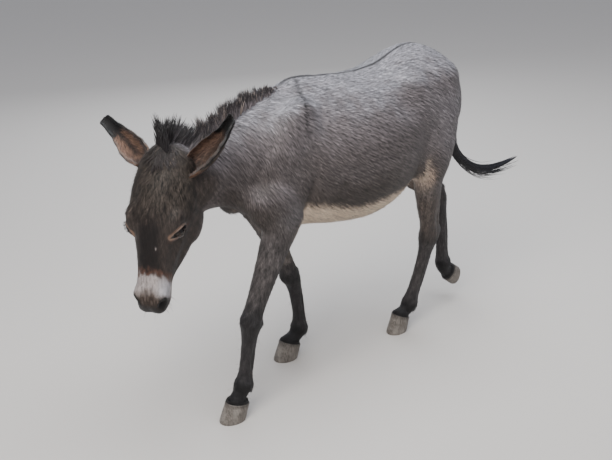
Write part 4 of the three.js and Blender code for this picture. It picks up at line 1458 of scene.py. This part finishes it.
def under_hair():
    """Hair that lies close under the tufts: matt, with a faint sheen at its edges. The colour is the
    attribute `coat`. A noise stretched along the attribute `grain` gives locks about 4 mm wide and six
    times as long, lighter and darker, and a bump of 1.6 mm."""
    locks_per_metre = 260
    made = material("close_lying_hair", 0.68, 0.2, 0.35)
    paint = node(made, "Attribute", {"attribute_name": "coat"})
    flow = node(made, "Attribute", {"attribute_name": "grain"})
    drawn_out = {"operation": "MULTIPLY", 1: (0.16, 1, 1)}
    lie = node(made, "VectorMath", drawn_out, {0: flow.outputs["Vector"]})
    fine = {"Scale": locks_per_metre, "Detail": 3.0, "Roughness": 0.6}
    hairs = node(made, "TexNoise", fine, {"Vector": lie.outputs[0]})
    contrast = {"From Min": 0.3, "From Max": 0.7, "To Min": 0.8, "To Max": 1.2}
    light = node(made, "MapRange", contrast, {"Value": hairs.outputs[0]})
    tone = {0: paint.outputs["Color"], "Scale": light.outputs[0]}
    tinted = node(made, "VectorMath", {"operation": "SCALE"}, tone)
    bump = node(made, "Bump", {"Strength": 0.8, "Distance": 0.0016}, {"Height": hairs.outputs[0]})
    return finished(made, tinted.outputs[0], bump)


def hair(name, roughness, sheen):
    """Hair with modelled tufts or strands. Its colour is the attribute `coat`, as it is."""
    made = material(name, roughness, sheen, 0.4)
    paint = node(made, "Attribute", {"attribute_name": "coat"})
    return finished(made, paint.outputs["Color"])


SHORT_HAIR = hair("short_matt_hair", 0.62, 0.12)  # dry and dull, so that light spreads softly over the coat
LONG_HAIR = hair("coarse_mane_hair", 0.4, 0.1)  # thick smooth hairs, which catch a soft shine along them
SKIN = under_hair()


# ---- lie, unwrapping and growth of the coat
def unwrapped(points, head, index, key):
    """The skin laid flat: places in the unit square, and the same as metres along and round, for the grain.
    The trunk with the neck, the head and each leg are rolled out by the angle round their own axes."""
    x, y, z = points.T
    turn = np.arctan2(x, z - np.interp(y, [-700, -500, -240, 480], [800, 790, 780, 850])) / (2 * np.pi)
    flat = np.stack([0.5 + turn, 0.42 + 0.56 * (y + 720) / 1240], 1)
    metres = np.stack([y * MM, turn * 1.1, 0 * y], 1)
    side, along, out = head_places(points).T
    around = np.arctan2(side, out + 50) / (2 * np.pi)
    on = head > 0.5
    flat[on] = np.stack([0.5 + around, 0.22 + 0.18 * (along + 40) / 520], 1)[on]
    metres[on] = np.stack([along * MM, around * 0.5, 3 + 0 * along], 1)[on]
    for i, leg in enumerate(LEGS.values()):
        on = (index == i) & (key > 1.1)
        k, a, b, _ = near_leg(points[on], leg)
        round_leg = np.arctan2(a, b) / (2 * np.pi)
        flat[on] = np.stack([(i + 0.5 + 0.96 * round_leg) / 4, 0.2 - 0.19 * (k - 1) / (leg.count - 1)], 1)
        metres[on] = np.stack([-points[on, 2] * MM, round_leg * 0.2, 6.0 + i + 0 * k], 1)
    return np.clip(flat, 0.002, 0.998), metres


def lie_of_coat(points, normals, head, tail, index, key):
    """Which way the coat lies: back and a little down on the trunk, steeper on neck, breast and rump,
    straight down on legs and tail, and towards the nose and away from the middle line on the head."""
    _, y, z = points.T
    way = np.tile((0.0, 1, -0.3), (len(points), 1))
    for share, turned in (
        (step(980, 860, z), (0, -0.05, -0.5)),
        (step(-150, -330, y), (0, -0.35, -0.45)),
        (step(200, 400, y), (0, -0.3, -0.75)),
        (step(-420, -520, y), (0, 0.2, -0.2)),
        (step(640, 590, z) * step(-0.3, -0.9, normals[:, 2]), (0, 0.6, 0.3)),
    ):
        way += share[:, None] * turned
    for i, leg in enumerate(LEGS.values()):
        on = index == i
        _, down = leg.path(key[on] / leg.count)
        share = step(0.85, 1.3, key[on])[:, None]
        way[on] = way[on] * (1 - share) + (down + 0.12 * np.array([0, 1, 0])) * share
    side, _, out = head_places(points).T
    nose = head_way(0, 1, 0) + (np.clip(side / 60, -1, 1) * 0.25)[:, None] * head_way(1, 0, 0)
    nose = nose - step(-10, -110, out)[:, None] * (0.35 * head_way(0, 1, 0) + 0.55 * head_way(0, 0, 1))
    way = way * (1 - head[:, None]) + nose * head[:, None]
    way = way * (1 - tail[:, None]) + np.array([0, 0.1, -1.0]) * tail[:, None]
    way = web.relaxed(way, 16, np.ones(len(points)))
    return unit(way - normals * dots(way, normals))


def growth(points, normals, head, tail, index, key):
    """Length, width and lift of the tufts at each point, and how many layers deep they lie. Each row is
    laid over those before it by its share."""
    _, y, z = points.T
    _, along, out = head_places(points).T
    on_leg = index >= 0
    belly = step(-0.4, -0.85, normals[:, 2]) * step(700, 620, z)
    rows = [
        (step(-330, -450, y), (22, 2.1, 2.8, 2.6)),  # neck and breast
        (belly, (25, 2.3, 3.6, 2.3)),
        (on_leg * step(0.95, 1.4, key), (14, 1.9, 1.5, 2.2)),
        (on_leg * step(1.9, 2.2, key), (11, 1.6, 1.3, 2.0)),  # from the knee down
        (head, (9, 1.6, 1.1, 1.6)),
        (head * step(215, 150, along) * step(-70, -10, out), (16, 1.9, 4.6, 2.5)),  # woolly brow
        (head * step(320, 350, along), (6, 1.2, 0.8, 1.5)),  # muzzle
        (head * step(400, 425, along), (3.6, 0.9, 0.5, 1.0)),  # lips and nostrils
        (tail, (16, 2.0, 2.5, 2.6)),
    ]
    bare = np.zeros(len(points), bool)
    for eye in SIDES:
        ex, ey, ez = eye_places(points, eye).T
        reach = np.hypot(ex / SOCKET[0], ey / SOCKET[1])
        rows.append((step(2.2, 1.4, reach) * step(-20, 0, ez), (4.5, 1.0, 0.6, 1.4)))
        bare |= (reach < 1.0) & (ez > -6)
    grow = np.tile((20.0, 2.2, 1.9, 2.5), (len(points), 1))
    for share, values in rows:
        grow = grow + np.clip(share, 0, 1)[:, None] * (np.array(values) - grow)
    grow[bare, 3] = 0  # under the lids
    return grow


head, tail, index, key = zones(flesh)
lie = lie_of_coat(flesh, normals, head, tail, index, key)
grow = growth(flesh, normals, head, tail, index, key)
note(skin.data, "grain", "FLOAT_VECTOR", unwrapped(flesh, head, index, key)[1])
skin.data.materials.append(SKIN)


def streaks(points, head, index, key):
    """Light and dark strokes in the coat, from about -1 to 1: noise drawn out about five times along lines
    that fall to the rear on the trunk, run down the legs and run lengthways on the head."""
    x, y, z = points.T
    fall = np.radians(34)
    lengthways = y * np.cos(fall) - z * np.sin(fall)
    across = y * np.sin(fall) + z * np.cos(fall)
    side, along, out = head_places(points).T
    trunk = mottle(np.stack([0.8 * x, 0.2 * lengthways, across], 1), 5.4, 53)
    legs = mottle(points * (1, 1, 0.22), 6, 54)
    face = mottle(np.stack([side, 0.25 * along, 0.6 * out], 1), 5, 55)
    return np.where((index >= 0) & (key > 1.2), legs, trunk) * (1 - head) + face * head


def scattered(rng):
    """Tufts spread over the skin by area: their roots, ways out, ways along the skin, and sizes, each a
    mean of its triangle's corners by random shares."""
    a, b, c = (flesh[faces[:, k]] for k in range(3))
    area = np.linalg.norm(np.cross(b - a, c - a), axis=1) / 2
    length, width, _, layers = grow[faces].mean(1).T
    wanted = area * layers / (0.5 * length * width)
    pick = np.repeat(np.arange(len(faces)), np.floor(wanted + rng.random(len(faces))).astype(int))
    share = rng.random((len(pick), 2))
    share = np.where(share.sum(1, keepdims=True) > 1, 1 - share, share)
    share = np.column_stack([1 - share.sum(1), share])[..., None]
    roots, outs, ways, sizes = ((v[faces[pick]] * share).sum(1) for v in (flesh, normals, lie, grow[:, :3]))
    return roots, unit(outs), unit(ways), sizes


def shades_of_coat(rng, roots, ways, outs, curly, zone):
    """The coat's colour, with its painted light and shade, 2 mm down each tuft's way, with a soft edge to the
    belly's cream, times a tone of its own."""
    head, _, index, key = zone
    n = len(roots)
    blur = 0.8 + 4.2 * step(740, 690, roots[:, 2]) * (index < 0) * (1 - head)
    colours = markings_and_painted_light(roots + ways * 2.0 + rng.normal(0, 1, roots.shape) * blur[:, None], outs)
    curl = curly * head
    tone = 1 + 0.05 * mottle(roots, 34, 31) + 0.21 * streaks(roots, head, index, key)
    tone = tone + 0.28 * curl * mottle(roots, 6, 57)
    tone = tone + (0.19 + 0.1 * curl) * np.clip(rng.normal(0, 1, n), -2, 2.4)
    pale = step(0.5, 0.75, colours.mean(1))
    return colours * (1 + (tone - 1) * (1 - 0.55 * pale))[:, None]


def coat():
    """The short coat: tufts over the whole skin, each with its own slight turn, length and shade."""
    rng = np.random.default_rng(7)
    roots, outs, ways, sizes = scattered(rng)
    n = len(roots)
    curly = 3.0  # tufts that lift more than this, on the brow, turn every way
    wool = (sizes[:, 2:] > curly) * 0.09
    bend = 0.05 * mottle(roots, 40, 51)[:, None] + rng.normal(0, 0.075, (n, 1))
    bend = bend + wool * (mottle(roots, 14, 52)[:, None] * 2 + rng.normal(0, 1.5, (n, 1)))
    ways = unit(ways + np.cross(outs, ways) * bend)
    sizes = sizes * rng.uniform(0.75, 1.25, (n, 3))
    sizes[:, 2] *= np.where(rng.random(n) < 0.06, 2.4, 1) * rng.uniform(0.5, 1.3, n)
    zone = zones(roots)
    colours = shades_of_coat(rng, roots, ways, outs, sizes[:, 2] > curly, zone)
    head, _, index, key = zone
    flat, _ = unwrapped(roots, head, index, key)
    order = np.lexsort((roots[:, 1],))
    on_head = head > 0.5
    on_leg = ~on_head & (index >= 0) & (key > 1.2)
    groups = (
        ("coat_head", on_head, "muzzle_hair"),
        ("coat_legs", on_leg, "leg_coat"),
        ("coat_trunk", ~(on_head | on_leg), "body_coat"),
    )
    for name, mine, slot in groups:
        i = order[mine[order]]
        tufts(name, roots[i], ways[i], outs[i], sizes[i], colours[i], flat[i], slot, SHORT_HAIR)


coat()


# ---- mane and tail
ACROSS = np.array([1.0, 0, 0])
CREST = route([
    *(NECK(np.array([0.12, 0.3, 0.5, 0.7, 0.88]))[:, :3] - (0, 0, 12)),
    in_head(0, -38, -10),
    in_head(0, -8, 14),
])
MANE_HEIGHT = track([(0, 4), (0.15, 28), (0.35, 52), (0.55, 72), (0.7, 70), (0.82, 56), (0.92, 60), (1, 50)])


def mane():
    """Upright hair in 46 clumps along the crest: tan-grey with dark tips towards the withers, and black and
    longer at the poll. A hair is its root + height * s * way, drawn to its clump by s^1.5 and sagging by
    s^2, for s from 0 to 1."""
    rng = np.random.default_rng(11)
    n, k = 5200, 4
    clumps = 46
    t = np.sort(rng.random(n) ** 0.9)
    place, way = CREST(t)
    up = unit(np.cross(way, ACROSS))
    spread = rng.normal(0, 1, n)
    clump = np.round(t * clumps + rng.normal(0, 0.35, n))
    own = np.random.default_rng(12).normal(0, 1, (60, 3))[np.clip(clump.astype(int), 0, 59)]
    height = (MANE_HEIGHT(t)[:, 0] + 14) * (1 + 0.10 * own[:, 0])
    height = (height * rng.uniform(0.55, 1.12, n) * (1 - 0.10 * np.abs(spread)))[:, None, None]
    gather = (clump / clumps - t)[:, None] * 700 * way
    lean = up + 0.10 * own[:, 1:2] * ACROSS + 0.12 * own[:, 2:3] * way
    lean = lean + rng.normal(0, 0.09, (n, 3)) - 0.22 * way
    lean = lean + 0.05 * spread[:, None] * ACROSS
    lean = lean + step(0.74, 0.98, t)[:, None] * np.array([0.02, 0.42, 0.5])
    half_row = 6.5 + 7 * step(0.8, 0.95, t)
    root = place + (spread * half_row)[:, None] * ACROSS - 2 * up
    s = np.linspace(0, 1, k + 1)[None, :, None]
    sag = 0.10 * height * s**2 * (ACROSS * np.sign(own[:, 1:2] + 0.3))[:, None]
    spine = root[:, None] + s * height * unit(lean)[:, None] + s**1.5 * 0.5 * gather[:, None] + sag
    half = np.repeat((rng.uniform(0.8, 1.5, (n, 1))), k, 1) * (1 - 0.55 * s[:, :k, 0] ** 2)
    poll = step(0.62, 0.86, t + rng.normal(0, 0.05, n))[:, None, None]
    base = MANE_PALE * (1 - poll) + MANE_DARK * poll
    mix = step(0.45, 0.85, s)
    colour = base * (1 - mix) + (MANE_DARK + 0.05 * (1 - poll)) * mix
    light = (rng.random(n) < 0.08 * (1 - poll[:, 0, 0]))[:, None, None]
    colour = np.where(light, MANE_TAN * (0.8 + 0.3 * s), colour) * rng.uniform(0.8, 1.2, (n, 1, 1))
    flat = np.stack([0.5 + spread * 0.01, 0.42 + 0.5 * (1 - t)], 1)
    piece = strands("mane_hair", spine, half, ACROSS, colour, flat, LONG_HAIR)
    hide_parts("mane")


TAIL_WIDTH = track([
    (0, 26), (0.16, 20), (0.3, 14.5), (0.42, 15), (0.52, 17), (0.65, 16), (0.8, 13), (0.9, 9), (1, 4),
])


def tail_hair():
    """The switch: long hair that leaves the dock all round and follows the tail's path, each at its own
    share of the tail's half width and angle round it. It gathers in six locks towards the end, with stray
    hairs below."""
    rng = np.random.default_rng(13)
    n, k = 3300, 8
    start = rng.uniform(0.16, 0.62, n)
    reach = np.minimum(start + rng.uniform(0.25, 0.5, n), rng.uniform(0.74, 1.0, n))
    s = np.linspace(0, 1, k + 1)
    t = start[:, None] + (reach - start)[:, None] * s
    place, way = (v.reshape(n, k + 1, 3) for v in TAIL_PATH(t.ravel()))
    top = np.cross(ACROSS, way)
    width = TAIL_WIDTH(t)[..., 0]
    angle, share = rng.uniform(0, 2 * np.pi, n)[:, None], np.sqrt(rng.random(n))[:, None]
    clump = np.round(angle * 2.2) / 2.2
    angle = angle + (clump - angle) * s * 0.8
    wave = 1.2 * np.sin(9 * t + clump * 3) * s
    stray = ((rng.random(n) < 0.09) & (start > 0.4))[:, None]
    r = width * share + 0.6 + stray * s**1.5 * rng.uniform(6, 22, (n, 1))
    r = r * (1 + 0.25 * rng.normal(0, 1, (n, 1)) * s)
    # towards the end the hairs gather in locks, each round a line of its own
    lock = rng.integers(0, 6, n)[:, None]
    drawn = 0.72 * step(0.3, 0.8, t) * (1 - stray)
    turn = lock * np.pi / 3 + 0.9 * np.sin(5 * t + lock)
    u = r * np.cos(angle) * (1 - drawn) + drawn * 0.72 * width * np.cos(turn) + wave
    v = r * np.sin(angle) * 0.9 * (1 - drawn) + drawn * 0.72 * width * np.sin(turn)
    spine = place + u[..., None] * ACROSS + v[..., None] * top
    spine = spine - (stray * s**2 * rng.uniform(5, 30, (n, 1)))[..., None] * np.array([0, 0, 1.0])
    half = rng.uniform(0.7, 1.3, (n, 1)) * (1 - 0.6 * s[:k] ** 2)
    grey = np.where(rng.random(n) < 0.12, 1, 0)[:, None, None]
    colour = TAIL_BLACK * (1 - grey) + TAIL_GREY * grey
    colour = colour * rng.uniform(0.75, 1.25, (n, 1, 1)) * np.ones((1, k + 1, 1))
    early = (step(0.36, 0.2, start) * 0.6)[:, None, None]
    colour = colour * (1 - early) + TAIL_ROOT * early
    flat = np.stack([0.5 + 0.1 * np.cos(angle[:, 0]), 0.9 + 0.09 * start], 1)
    piece = strands("tail_hair", spine, half, ACROSS, colour, flat, LONG_HAIR)
    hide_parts("tail_switch")


def forelock():
    """Short dark hair in clumps that falls forwards over the brow: root + length * (s * way + 0.55 s^2 *
    fall)."""
    rng = np.random.default_rng(14)
    n, k = 620, 5
    side, along = rng.normal(0, 15, n), rng.uniform(-26, 26, n)
    out = np.interp(along, [-30, 10, 40], [4, 26, 36]) - side**2 / 80
    length = rng.uniform(22, 58, n)[:, None, None] * (1 - 0.3 * np.abs(side)[:, None, None] / 40)
    s = np.linspace(0, 1, k + 1)[None, :, None]
    clump = np.random.default_rng(15).normal(0, 0.3, 24)[np.clip((side / 5 + 12).astype(int), 0, 23)]
    way = head_way(0, 0.66, 0.75) + rng.normal(0, 0.12, (n, 3))
    way = unit(way + (clump + 0.01 * side)[:, None] * head_way(1, 0, 0))
    fall = head_way(0, 0.35, -0.7) + (0.01 * side)[:, None] * head_way(1, 0, 0)
    root = in_head(side, along, out)
    spine = root[:, None] + length * (s * way[:, None] + s**2 * 0.55 * fall[:, None])
    half = rng.uniform(0.6, 1.1, (n, 1)) * (1 - 0.6 * s[:, :k, 0] ** 2)
    colour = np.tile(FORELOCK, (n, k + 1, 1)) * rng.uniform(0.8, 2.7, (n, 1, 1))
    flat = np.stack([0.5 + side / 400, np.full(n, 0.23)], 1)
    strands("forelock_hair", spine, half, head_way(0, 0, 1), colour, flat, LONG_HAIR)


mane()
forelock()
tail_hair()


# ---- hair of the ears, lids, hooves and muzzle
# Hair of an ear: count, whether inside, range of turn, then length, width and lift, and lean to the middle.
EAR_HAIR = [
    (9000, False, (-1, 1), (9, 1.5, 0.9), 0),
    (5200, True, (-0.96, 0.96), (17, 1.3, 5.0), -0.35),
    (1500, True, (-1.02, -0.86), (12, 1.2, 3.0), 0.8),
    (1500, True, (0.86, 1.02), (12, 1.2, 3.0), 0.8),
]


def cup_side(side):
    """1 or -1: which way the cross product of an ear's two directions looks against the way out of its
    cup."""
    t, turn = np.array([0.5]), np.array([0.0])
    middle = ear_sheet(side, t, turn, 1.5)
    up = ear_sheet(side, t + 0.01, turn, 1.5) - middle
    round_cup = ear_sheet(side, t, turn + 0.02, 1.5) - middle
    return np.sign(-np.cross(up, round_cup)[0] @ ear_frame(side)[2])


def ear_hair(side):
    """Short hair over an ear's back, long soft hair inside it, and a fringe on its two rims. Each tuft
    stands on the leaf, points to its tip and leans towards or from the middle."""
    rng = np.random.default_rng(21 + SIDES[side])
    outwards = cup_side(side)
    kept = []
    for n, inside, (low, high), size, lean in EAR_HAIR:
        t, turn = rng.random(n) ** 0.9 * 0.985, rng.uniform(low, high, n)
        inset = EAR_LEAF(t)[:, 2] - 1.0 if inside else 1.5
        root = ear_sheet(side, t, turn, inset)
        up = ear_sheet(side, t + 0.01, turn, inset) - root
        round_cup = ear_sheet(side, t, turn + 0.02, inset) - root
        out = unit(np.cross(up, round_cup)) * outwards * (-1 if inside else 1)
        sizes = np.tile(size, (n, 1)) * rng.uniform(0.6, 1.3, (n, 3))
        sizes[:, 0] *= 1 - 0.45 * step(0.6, 1, t)
        way = unit(up) + lean * np.sign(turn)[:, None] * unit(round_cup)
        way = unit(way + rng.normal(0, 0.16, (n, 3)))
        colour = ear_colour(side, t, turn, inside)
        pale = (0.5 * rng.random(n) * inside * step(0.72, 0.5, t) * EAR_TONES[side][3])[:, None]
        colour = colour * (1 - pale) + EAR_WOOL * pale
        kept.append((root, way, out, sizes, colour * rng.uniform(0.5, 1.5, (n, 1))))
    roots, ways, outs, sizes, colours = map(np.concatenate, zip(*kept))
    from_base = np.linalg.norm(roots - EARS[side][0], axis=1)
    edge = 0.05 if side == "left" else 0.95
    flat = np.stack([np.full(len(roots), edge), 0.2 + 0.15 * from_base / 240], 1)
    tufts(f"ear_hair_{side}", roots, ways, outs, sizes, colours, flat, "ear_hair", SHORT_HAIR)


def bristles(name, root, length, way, bend, half, colour, flat, up):
    """Stiff single hairs of three pieces: root + length * (s * way + s^2 * bend), for s from 0 to 1."""
    n = len(root)
    s = np.linspace(0, 1, 4)[None, :, None]
    spine = root[:, None] + length[:, None, None] * (s * way[:, None] + s**2 * bend)
    thin = half * (1 - 0.6 * s[:, :3, 0]) * np.ones((n, 1))
    strands(name, spine, thin, up, colour, flat, LONG_HAIR)


def lashes(side):
    """Dark lashes along the upper lid, and a few short ones on the outer part of the lower one."""
    rng = np.random.default_rng(31)
    out, inner, up = EYE_WAYS[side]
    n_upper, n_lower = 110, 40
    n = n_upper + n_lower
    angle = np.concatenate([rng.uniform(0.12, 0.85, n_upper), rng.uniform(1.15, 1.85, n_lower)]) * np.pi
    x, y = opening(angle)
    top = np.sin(angle) > 0
    z = np.sqrt(np.maximum((EYE_RADIUS + 2.2) ** 2 - x**2 - y**2, 60)) + 1.5
    root = from_eye(np.stack([x, y, z], 1), side)
    length = np.where(top, rng.uniform(8, 13, n), rng.uniform(4, 6, n))
    fan = (x / 26 * 0.5 + rng.normal(0, 0.08, n))[:, None] * inner
    way = unit(out * 0.8 + np.where(top, -0.45, -0.7)[:, None] * up + fan)
    curl = 0.3 * np.where(top, 1, 0)[:, None] * up
    colour = np.tile(LASH, (n, 4, 1))
    flat = np.tile((0.3 if side == "left" else 0.7, 0.31), (n, 1))
    bristles(f"lashes_{side}", root, length, way, curl[:, None], 0.35, colour, flat, up)


def whiskers():
    """Sparse stiff hairs on the lips and chin, which droop towards their tips."""
    rng = np.random.default_rng(33)
    _, along, out = head_places(flesh).T
    lips = (along > 395) & (out < -48) & (normals @ head_way(0, 0, 1) < 0.3)
    pick = rng.choice(np.flatnonzero(lips), 170, replace=False)
    n = len(pick)
    length = rng.uniform(9, 26, n)
    way = unit(normals[pick] + 0.35 * head_way(0, 1, 0) + rng.normal(0, 0.2, (n, 3)))
    droop = 0.25 * np.array([0, 0, -1.0])
    colour = np.tile(WHISKER, (n, 4, 1)) * rng.uniform(0.4, 1.5, (n, 1, 1))
    flat = np.tile((0.5, 0.39), (n, 1)) + rng.uniform(-0.02, 0.0, (n, 2))
    bristles("whiskers", flesh[pick], length, way, droop, 0.3, colour, flat, head_way(1, 0, 0))


def coronet_fringe():
    """Hair that hangs over the top of each hoof, from an oval inside the coronet, and longer hair behind
    each fetlock."""
    rng = np.random.default_rng(35)
    n, m = 2400, 500
    for i, leg in enumerate(LEGS.values()):
        toe, heel, half, _ = FORE_HOOF if leg.fore else HIND_HOOF
        angle = rng.uniform(0, 2 * np.pi, n)
        U = ahead(leg.normal)
        S = np.cross(U, leg.normal)
        ring = np.cos(angle)[:, None] * half * S
        ring = ring + (np.sin(angle) * np.where(np.sin(angle) > 0, toe, heel))[:, None] * U
        out = unit(ring)
        root = leg.coronet + ring * 0.84 - leg.normal * rng.uniform(0, 9, n)[:, None]
        way = unit(leg.normal + 0.16 * out + rng.normal(0, 0.1, (n, 3)))
        sizes = np.array([11, 1.4, 0.8]) * rng.uniform(0.6, 1.3, (n, 3))
        colour = BLACK * rng.uniform(0.8, 1.6, (n, 1))
        # behind the fetlock
        keys = rng.uniform(2.96, 3.16, m)
        centre, side, forward = leg.rings(keys)
        _, wide, _, back = leg.profile(keys).T
        around = rng.normal(0, 0.35, m)
        sideways, backwards = np.sin(around)[:, None], np.cos(around)[:, None]
        away = unit(sideways * side - backwards * forward)
        base = centre + sideways * wide[:, None] * side - backwards * (back - 4)[:, None] * forward
        _, down = leg.path(keys / leg.count)
        tuft = unit(down + 0.05 * away + rng.normal(0, 0.1, (m, 3)))
        long = np.array([17, 1.6, 1.5]) * rng.uniform(0.6, 1.3, (m, 3))
        shade = BLACK * rng.uniform(0.9, 2.0, (m, 1))
        flat = np.tile(((i + 0.5) / 4, 0.012), (n + m, 1)) + rng.uniform(-0.004, 0.004, (n + m, 2))
        pairs = ((root, base), (way, tuft), (out, away), (sizes, long), (colour, shade))
        tufts(f"fringe_{leg.name}", *map(np.vstack, pairs), flat, "dark_coat", SHORT_HAIR)


def callus_material():
    """Horny callus: dry and dull, with cracks about 2 mm apart that are darker and 1 mm deep."""
    made = material("grey_callus_horn", 0.8, 0.0, 0.3)
    cracks = node(made, "TexNoise", {"Scale": 500.0, "Detail": 3.0})
    stops = {"stops": [(0.4, "#191615"), (0.65, "#453e39")]}
    tint = node(made, "ValToRGB", stops, {0: cracks.outputs[0]})
    bump = node(made, "Bump", {"Strength": 0.9, "Distance": 0.001}, {"Height": cracks.outputs[0]})
    return finished(made, tint.outputs[0], bump)


def chestnuts():
    """A flat rough oval of callus on the inner side of each forearm, above the knee."""
    callus = callus_material()
    for name, s in (("fore_left", LEFT), ("fore_right", RIGHT)):
        leg = LEGS[name]
        key = np.array([1.62])
        centre, side, forward = (v[0] for v in leg.rings(key))
        _, half, _, back = leg.profile(key)[0]
        way = leg.path(key / leg.count)[1][0]
        at = centre - s * (half - 4) * side - 0.15 * back * forward
        points, triangles = egg(at, (side, way, forward), (3.6, 17, 10), 48)
        points = points + 0.5 * mottle(points, 5, 61)[:, None] * -s * side
        piece = added(f"chestnut_{name}", smooth_mesh(f"chestnut_{name}", points, triangles))
        piece.data.materials.append(callus)
        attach(piece, "root")


def eye_material():
    """A wet eye, glossy under a film of tears: a level black pupil in a brown iris of 12.5 by 10.5 mm with
    fine spots 1 mm wide, and brown beyond, by the distance in the attribute `gaze`."""
    made = material("wet_dark_eye", 0.08, 0.0, 0.35)
    shader = made.node_tree.nodes["Principled BSDF"]
    shader.inputs["Coat Weight"].default_value = 0.25
    shader.inputs["Coat Roughness"].default_value = 0.03
    gaze = node(made, "Attribute", {"attribute_name": "gaze"})
    sizes = {"operation": "MULTIPLY", 1: (1 / 12.5, 1 / 10.5, 0)}
    flat = node(made, "VectorMath", sizes, {0: gaze.outputs["Vector"]})
    reach = node(made, "VectorMath", {"operation": "LENGTH"}, {0: flat.outputs[0]})
    pupil = [(0.0, "#050404"), (0.42, "#070505")]
    iris = [(0.52, "#24150c"), (0.88, "#2d1b10"), (0.98, "#0b0706")]
    rings = node(made, "ValToRGB", {"stops": [*pupil, *iris, (1.0, "#33251d")]}, {0: reach.outputs["Value"]})
    spots = node(made, "TexNoise", {"Scale": 900.0, "Detail": 2.0})
    layers = {6: rings.outputs[0], 7: spots.outputs["Color"]}
    tint = node(made, "Mix", {"data_type": "RGBA", "blend_type": "MULTIPLY", 0: 0.4}, layers)
    return finished(made, tint.outputs[2])


def horn_material():
    """Hoof horn, worn half dull: grey-brown streaks 2 mm wide down the wall, paler worn patches 30 mm wide,
    a dark band under the coronet, and a bump of 0.8 mm."""
    made = material("striated_hoof_horn", 0.5, 0.0, 0.4)
    place = node(made, "TexCoord")
    drawn_out = {"operation": "MULTIPLY", 1: (1, 1, 0.08)}
    tall = node(made, "VectorMath", drawn_out, {0: place.outputs["Object"]})
    fine = {"Scale": 420.0, "Detail": 4.0, "Roughness": 0.6}
    streaks = node(made, "TexNoise", fine, {"Vector": tall.outputs[0]})
    patches = node(made, "TexNoise", {"Scale": 34.0, "Detail": 3.0}, {"Vector": place.outputs["Object"]})
    stops = {"stops": [(0.36, "#4d4843"), (0.66, "#7d756d")]}
    horn = node(made, "ValToRGB", stops, {0: streaks.outputs[0]})
    share = {"From Min": 0.5, "From Max": 0.68, "To Max": 0.4}
    worn = node(made, "MapRange", share, {"Value": patches.outputs[0]})
    pale = {"data_type": "RGBA", 7: (*linear(srgb("#a39c93")), 1)}
    wall = node(made, "Mix", pale, {0: worn.outputs[0], 6: horn.outputs[0]})
    down = node(made, "Attribute", {"attribute_name": "down_wall"})
    share = {"From Min": 0.0, "From Max": 0.22, "To Min": 0.55, "To Max": 0.0}
    top = node(made, "MapRange", share, {"Value": down.outputs["Fac"]})
    dark = {"data_type": "RGBA", 7: (*linear(srgb("#2b2522")), 1)}
    banded = node(made, "Mix", dark, {0: top.outputs[0], 6: wall.outputs[2]})
    bump = node(made, "Bump", {"Strength": 0.6, "Distance": 0.0008}, {"Height": streaks.outputs[0]})
    return finished(made, banded.outputs[2], bump)


EYE = eye_material()
HORN = horn_material()
for side in SIDES:
    eyeball(side).data.materials.append(EYE)
    for piece in (lids(side), ear(side)):
        piece.data.materials.append(SHORT_HAIR)
    ear_hair(side)
    lashes(side)
for leg in LEGS.values():
    hoof(leg).data.materials.append(HORN)
whiskers()
chestnuts()
coronet_fringe()


# ---- floor, light and camera
CAMERA_AT = np.array([2414.0, -1956, 1724])
CAMERA_TURN = (53.7, 22.1, -2.4)  # azimuth, elevation and roll in degrees
LENS_SHARE = 960.5 / 612  # focal length over the image's width


def posed(name, data, columns, place):
    """An object whose x, y and z axes are the given columns, at a place in metres."""
    turn = np.eye(4)
    turn[:3, :3] = np.stack(columns, 1)
    turn[:3, 3] = place
    piece = added(name, data)
    piece.matrix_world = turn.T
    return piece


def camera():
    """The camera at three quarters from the front left, as high above the floor as a standing person's
    eye."""
    azimuth, elevation, tilt = np.radians(CAMERA_TURN)
    level = np.array([np.sin(azimuth), -np.cos(azimuth), 0]) * np.cos(elevation)
    back = level + np.array([0, 0, np.sin(elevation)])
    right = unit(np.cross(-back, (0, 0, 1)))
    up = np.cross(right, -back)
    right, up = np.cos(tilt) * right + np.sin(tilt) * up, np.cos(tilt) * up - np.sin(tilt) * right
    lens = bpy.data.cameras.new("camera")
    lens.sensor_width = 36
    lens.lens = LENS_SHARE * lens.sensor_width
    lens.clip_end = 60
    bpy.context.scene.camera = posed("camera", lens, (right, up, back), placed(CAMERA_AT))


def light(name, place, size, watts, colour):
    """A square soft light at `place`, in metres, that looks at the middle of the body."""
    lamp = bpy.data.lights.new(name, "AREA")
    lamp.shape = "SQUARE"
    lamp.size = size
    lamp.energy = watts
    lamp.color = colour
    back = unit(np.array(place, float) - (0, 0, 0.6))
    right = unit(np.cross((0, 0, 1), back))
    posed(name, lamp, (right, np.cross(back, right), back), place)


def studio():
    """A pale floor, a pale surround and three soft lights."""
    half = 30.0
    mesh = bpy.data.meshes.new("floor")
    corners = [(-half, -half, 0), (half, -half, 0), (half, half, 0), (-half, half, 0)]
    mesh.from_pydata(corners, [], [(0, 1, 2, 3)])
    floor = added("floor", mesh)
    sheet = material("matt_studio_floor", 0.9)
    sheet.node_tree.nodes["Principled BSDF"].inputs["Base Color"].default_value = (0.56, 0.53, 0.5, 1)
    mesh.materials.append(sheet)
    world = bpy.data.worlds.new("studio")
    world.use_nodes = True
    sky = world.node_tree.nodes["Background"]
    sky.inputs["Color"].default_value = (0.86, 0.9, 1, 1)
    sky.inputs["Strength"].default_value = 0.6
    bpy.context.scene.world = world
    light("key", (1.6, -2.6, 3.6), 2.4, 150, (1, 0.96, 0.9))
    light("top", (0.2, 0.6, 3.8), 3.0, 150, (0.92, 0.96, 1))
    light("back", (-3.2, 1.6, 2.2), 2.4, 45, (0.9, 0.95, 1))


camera()
studio()
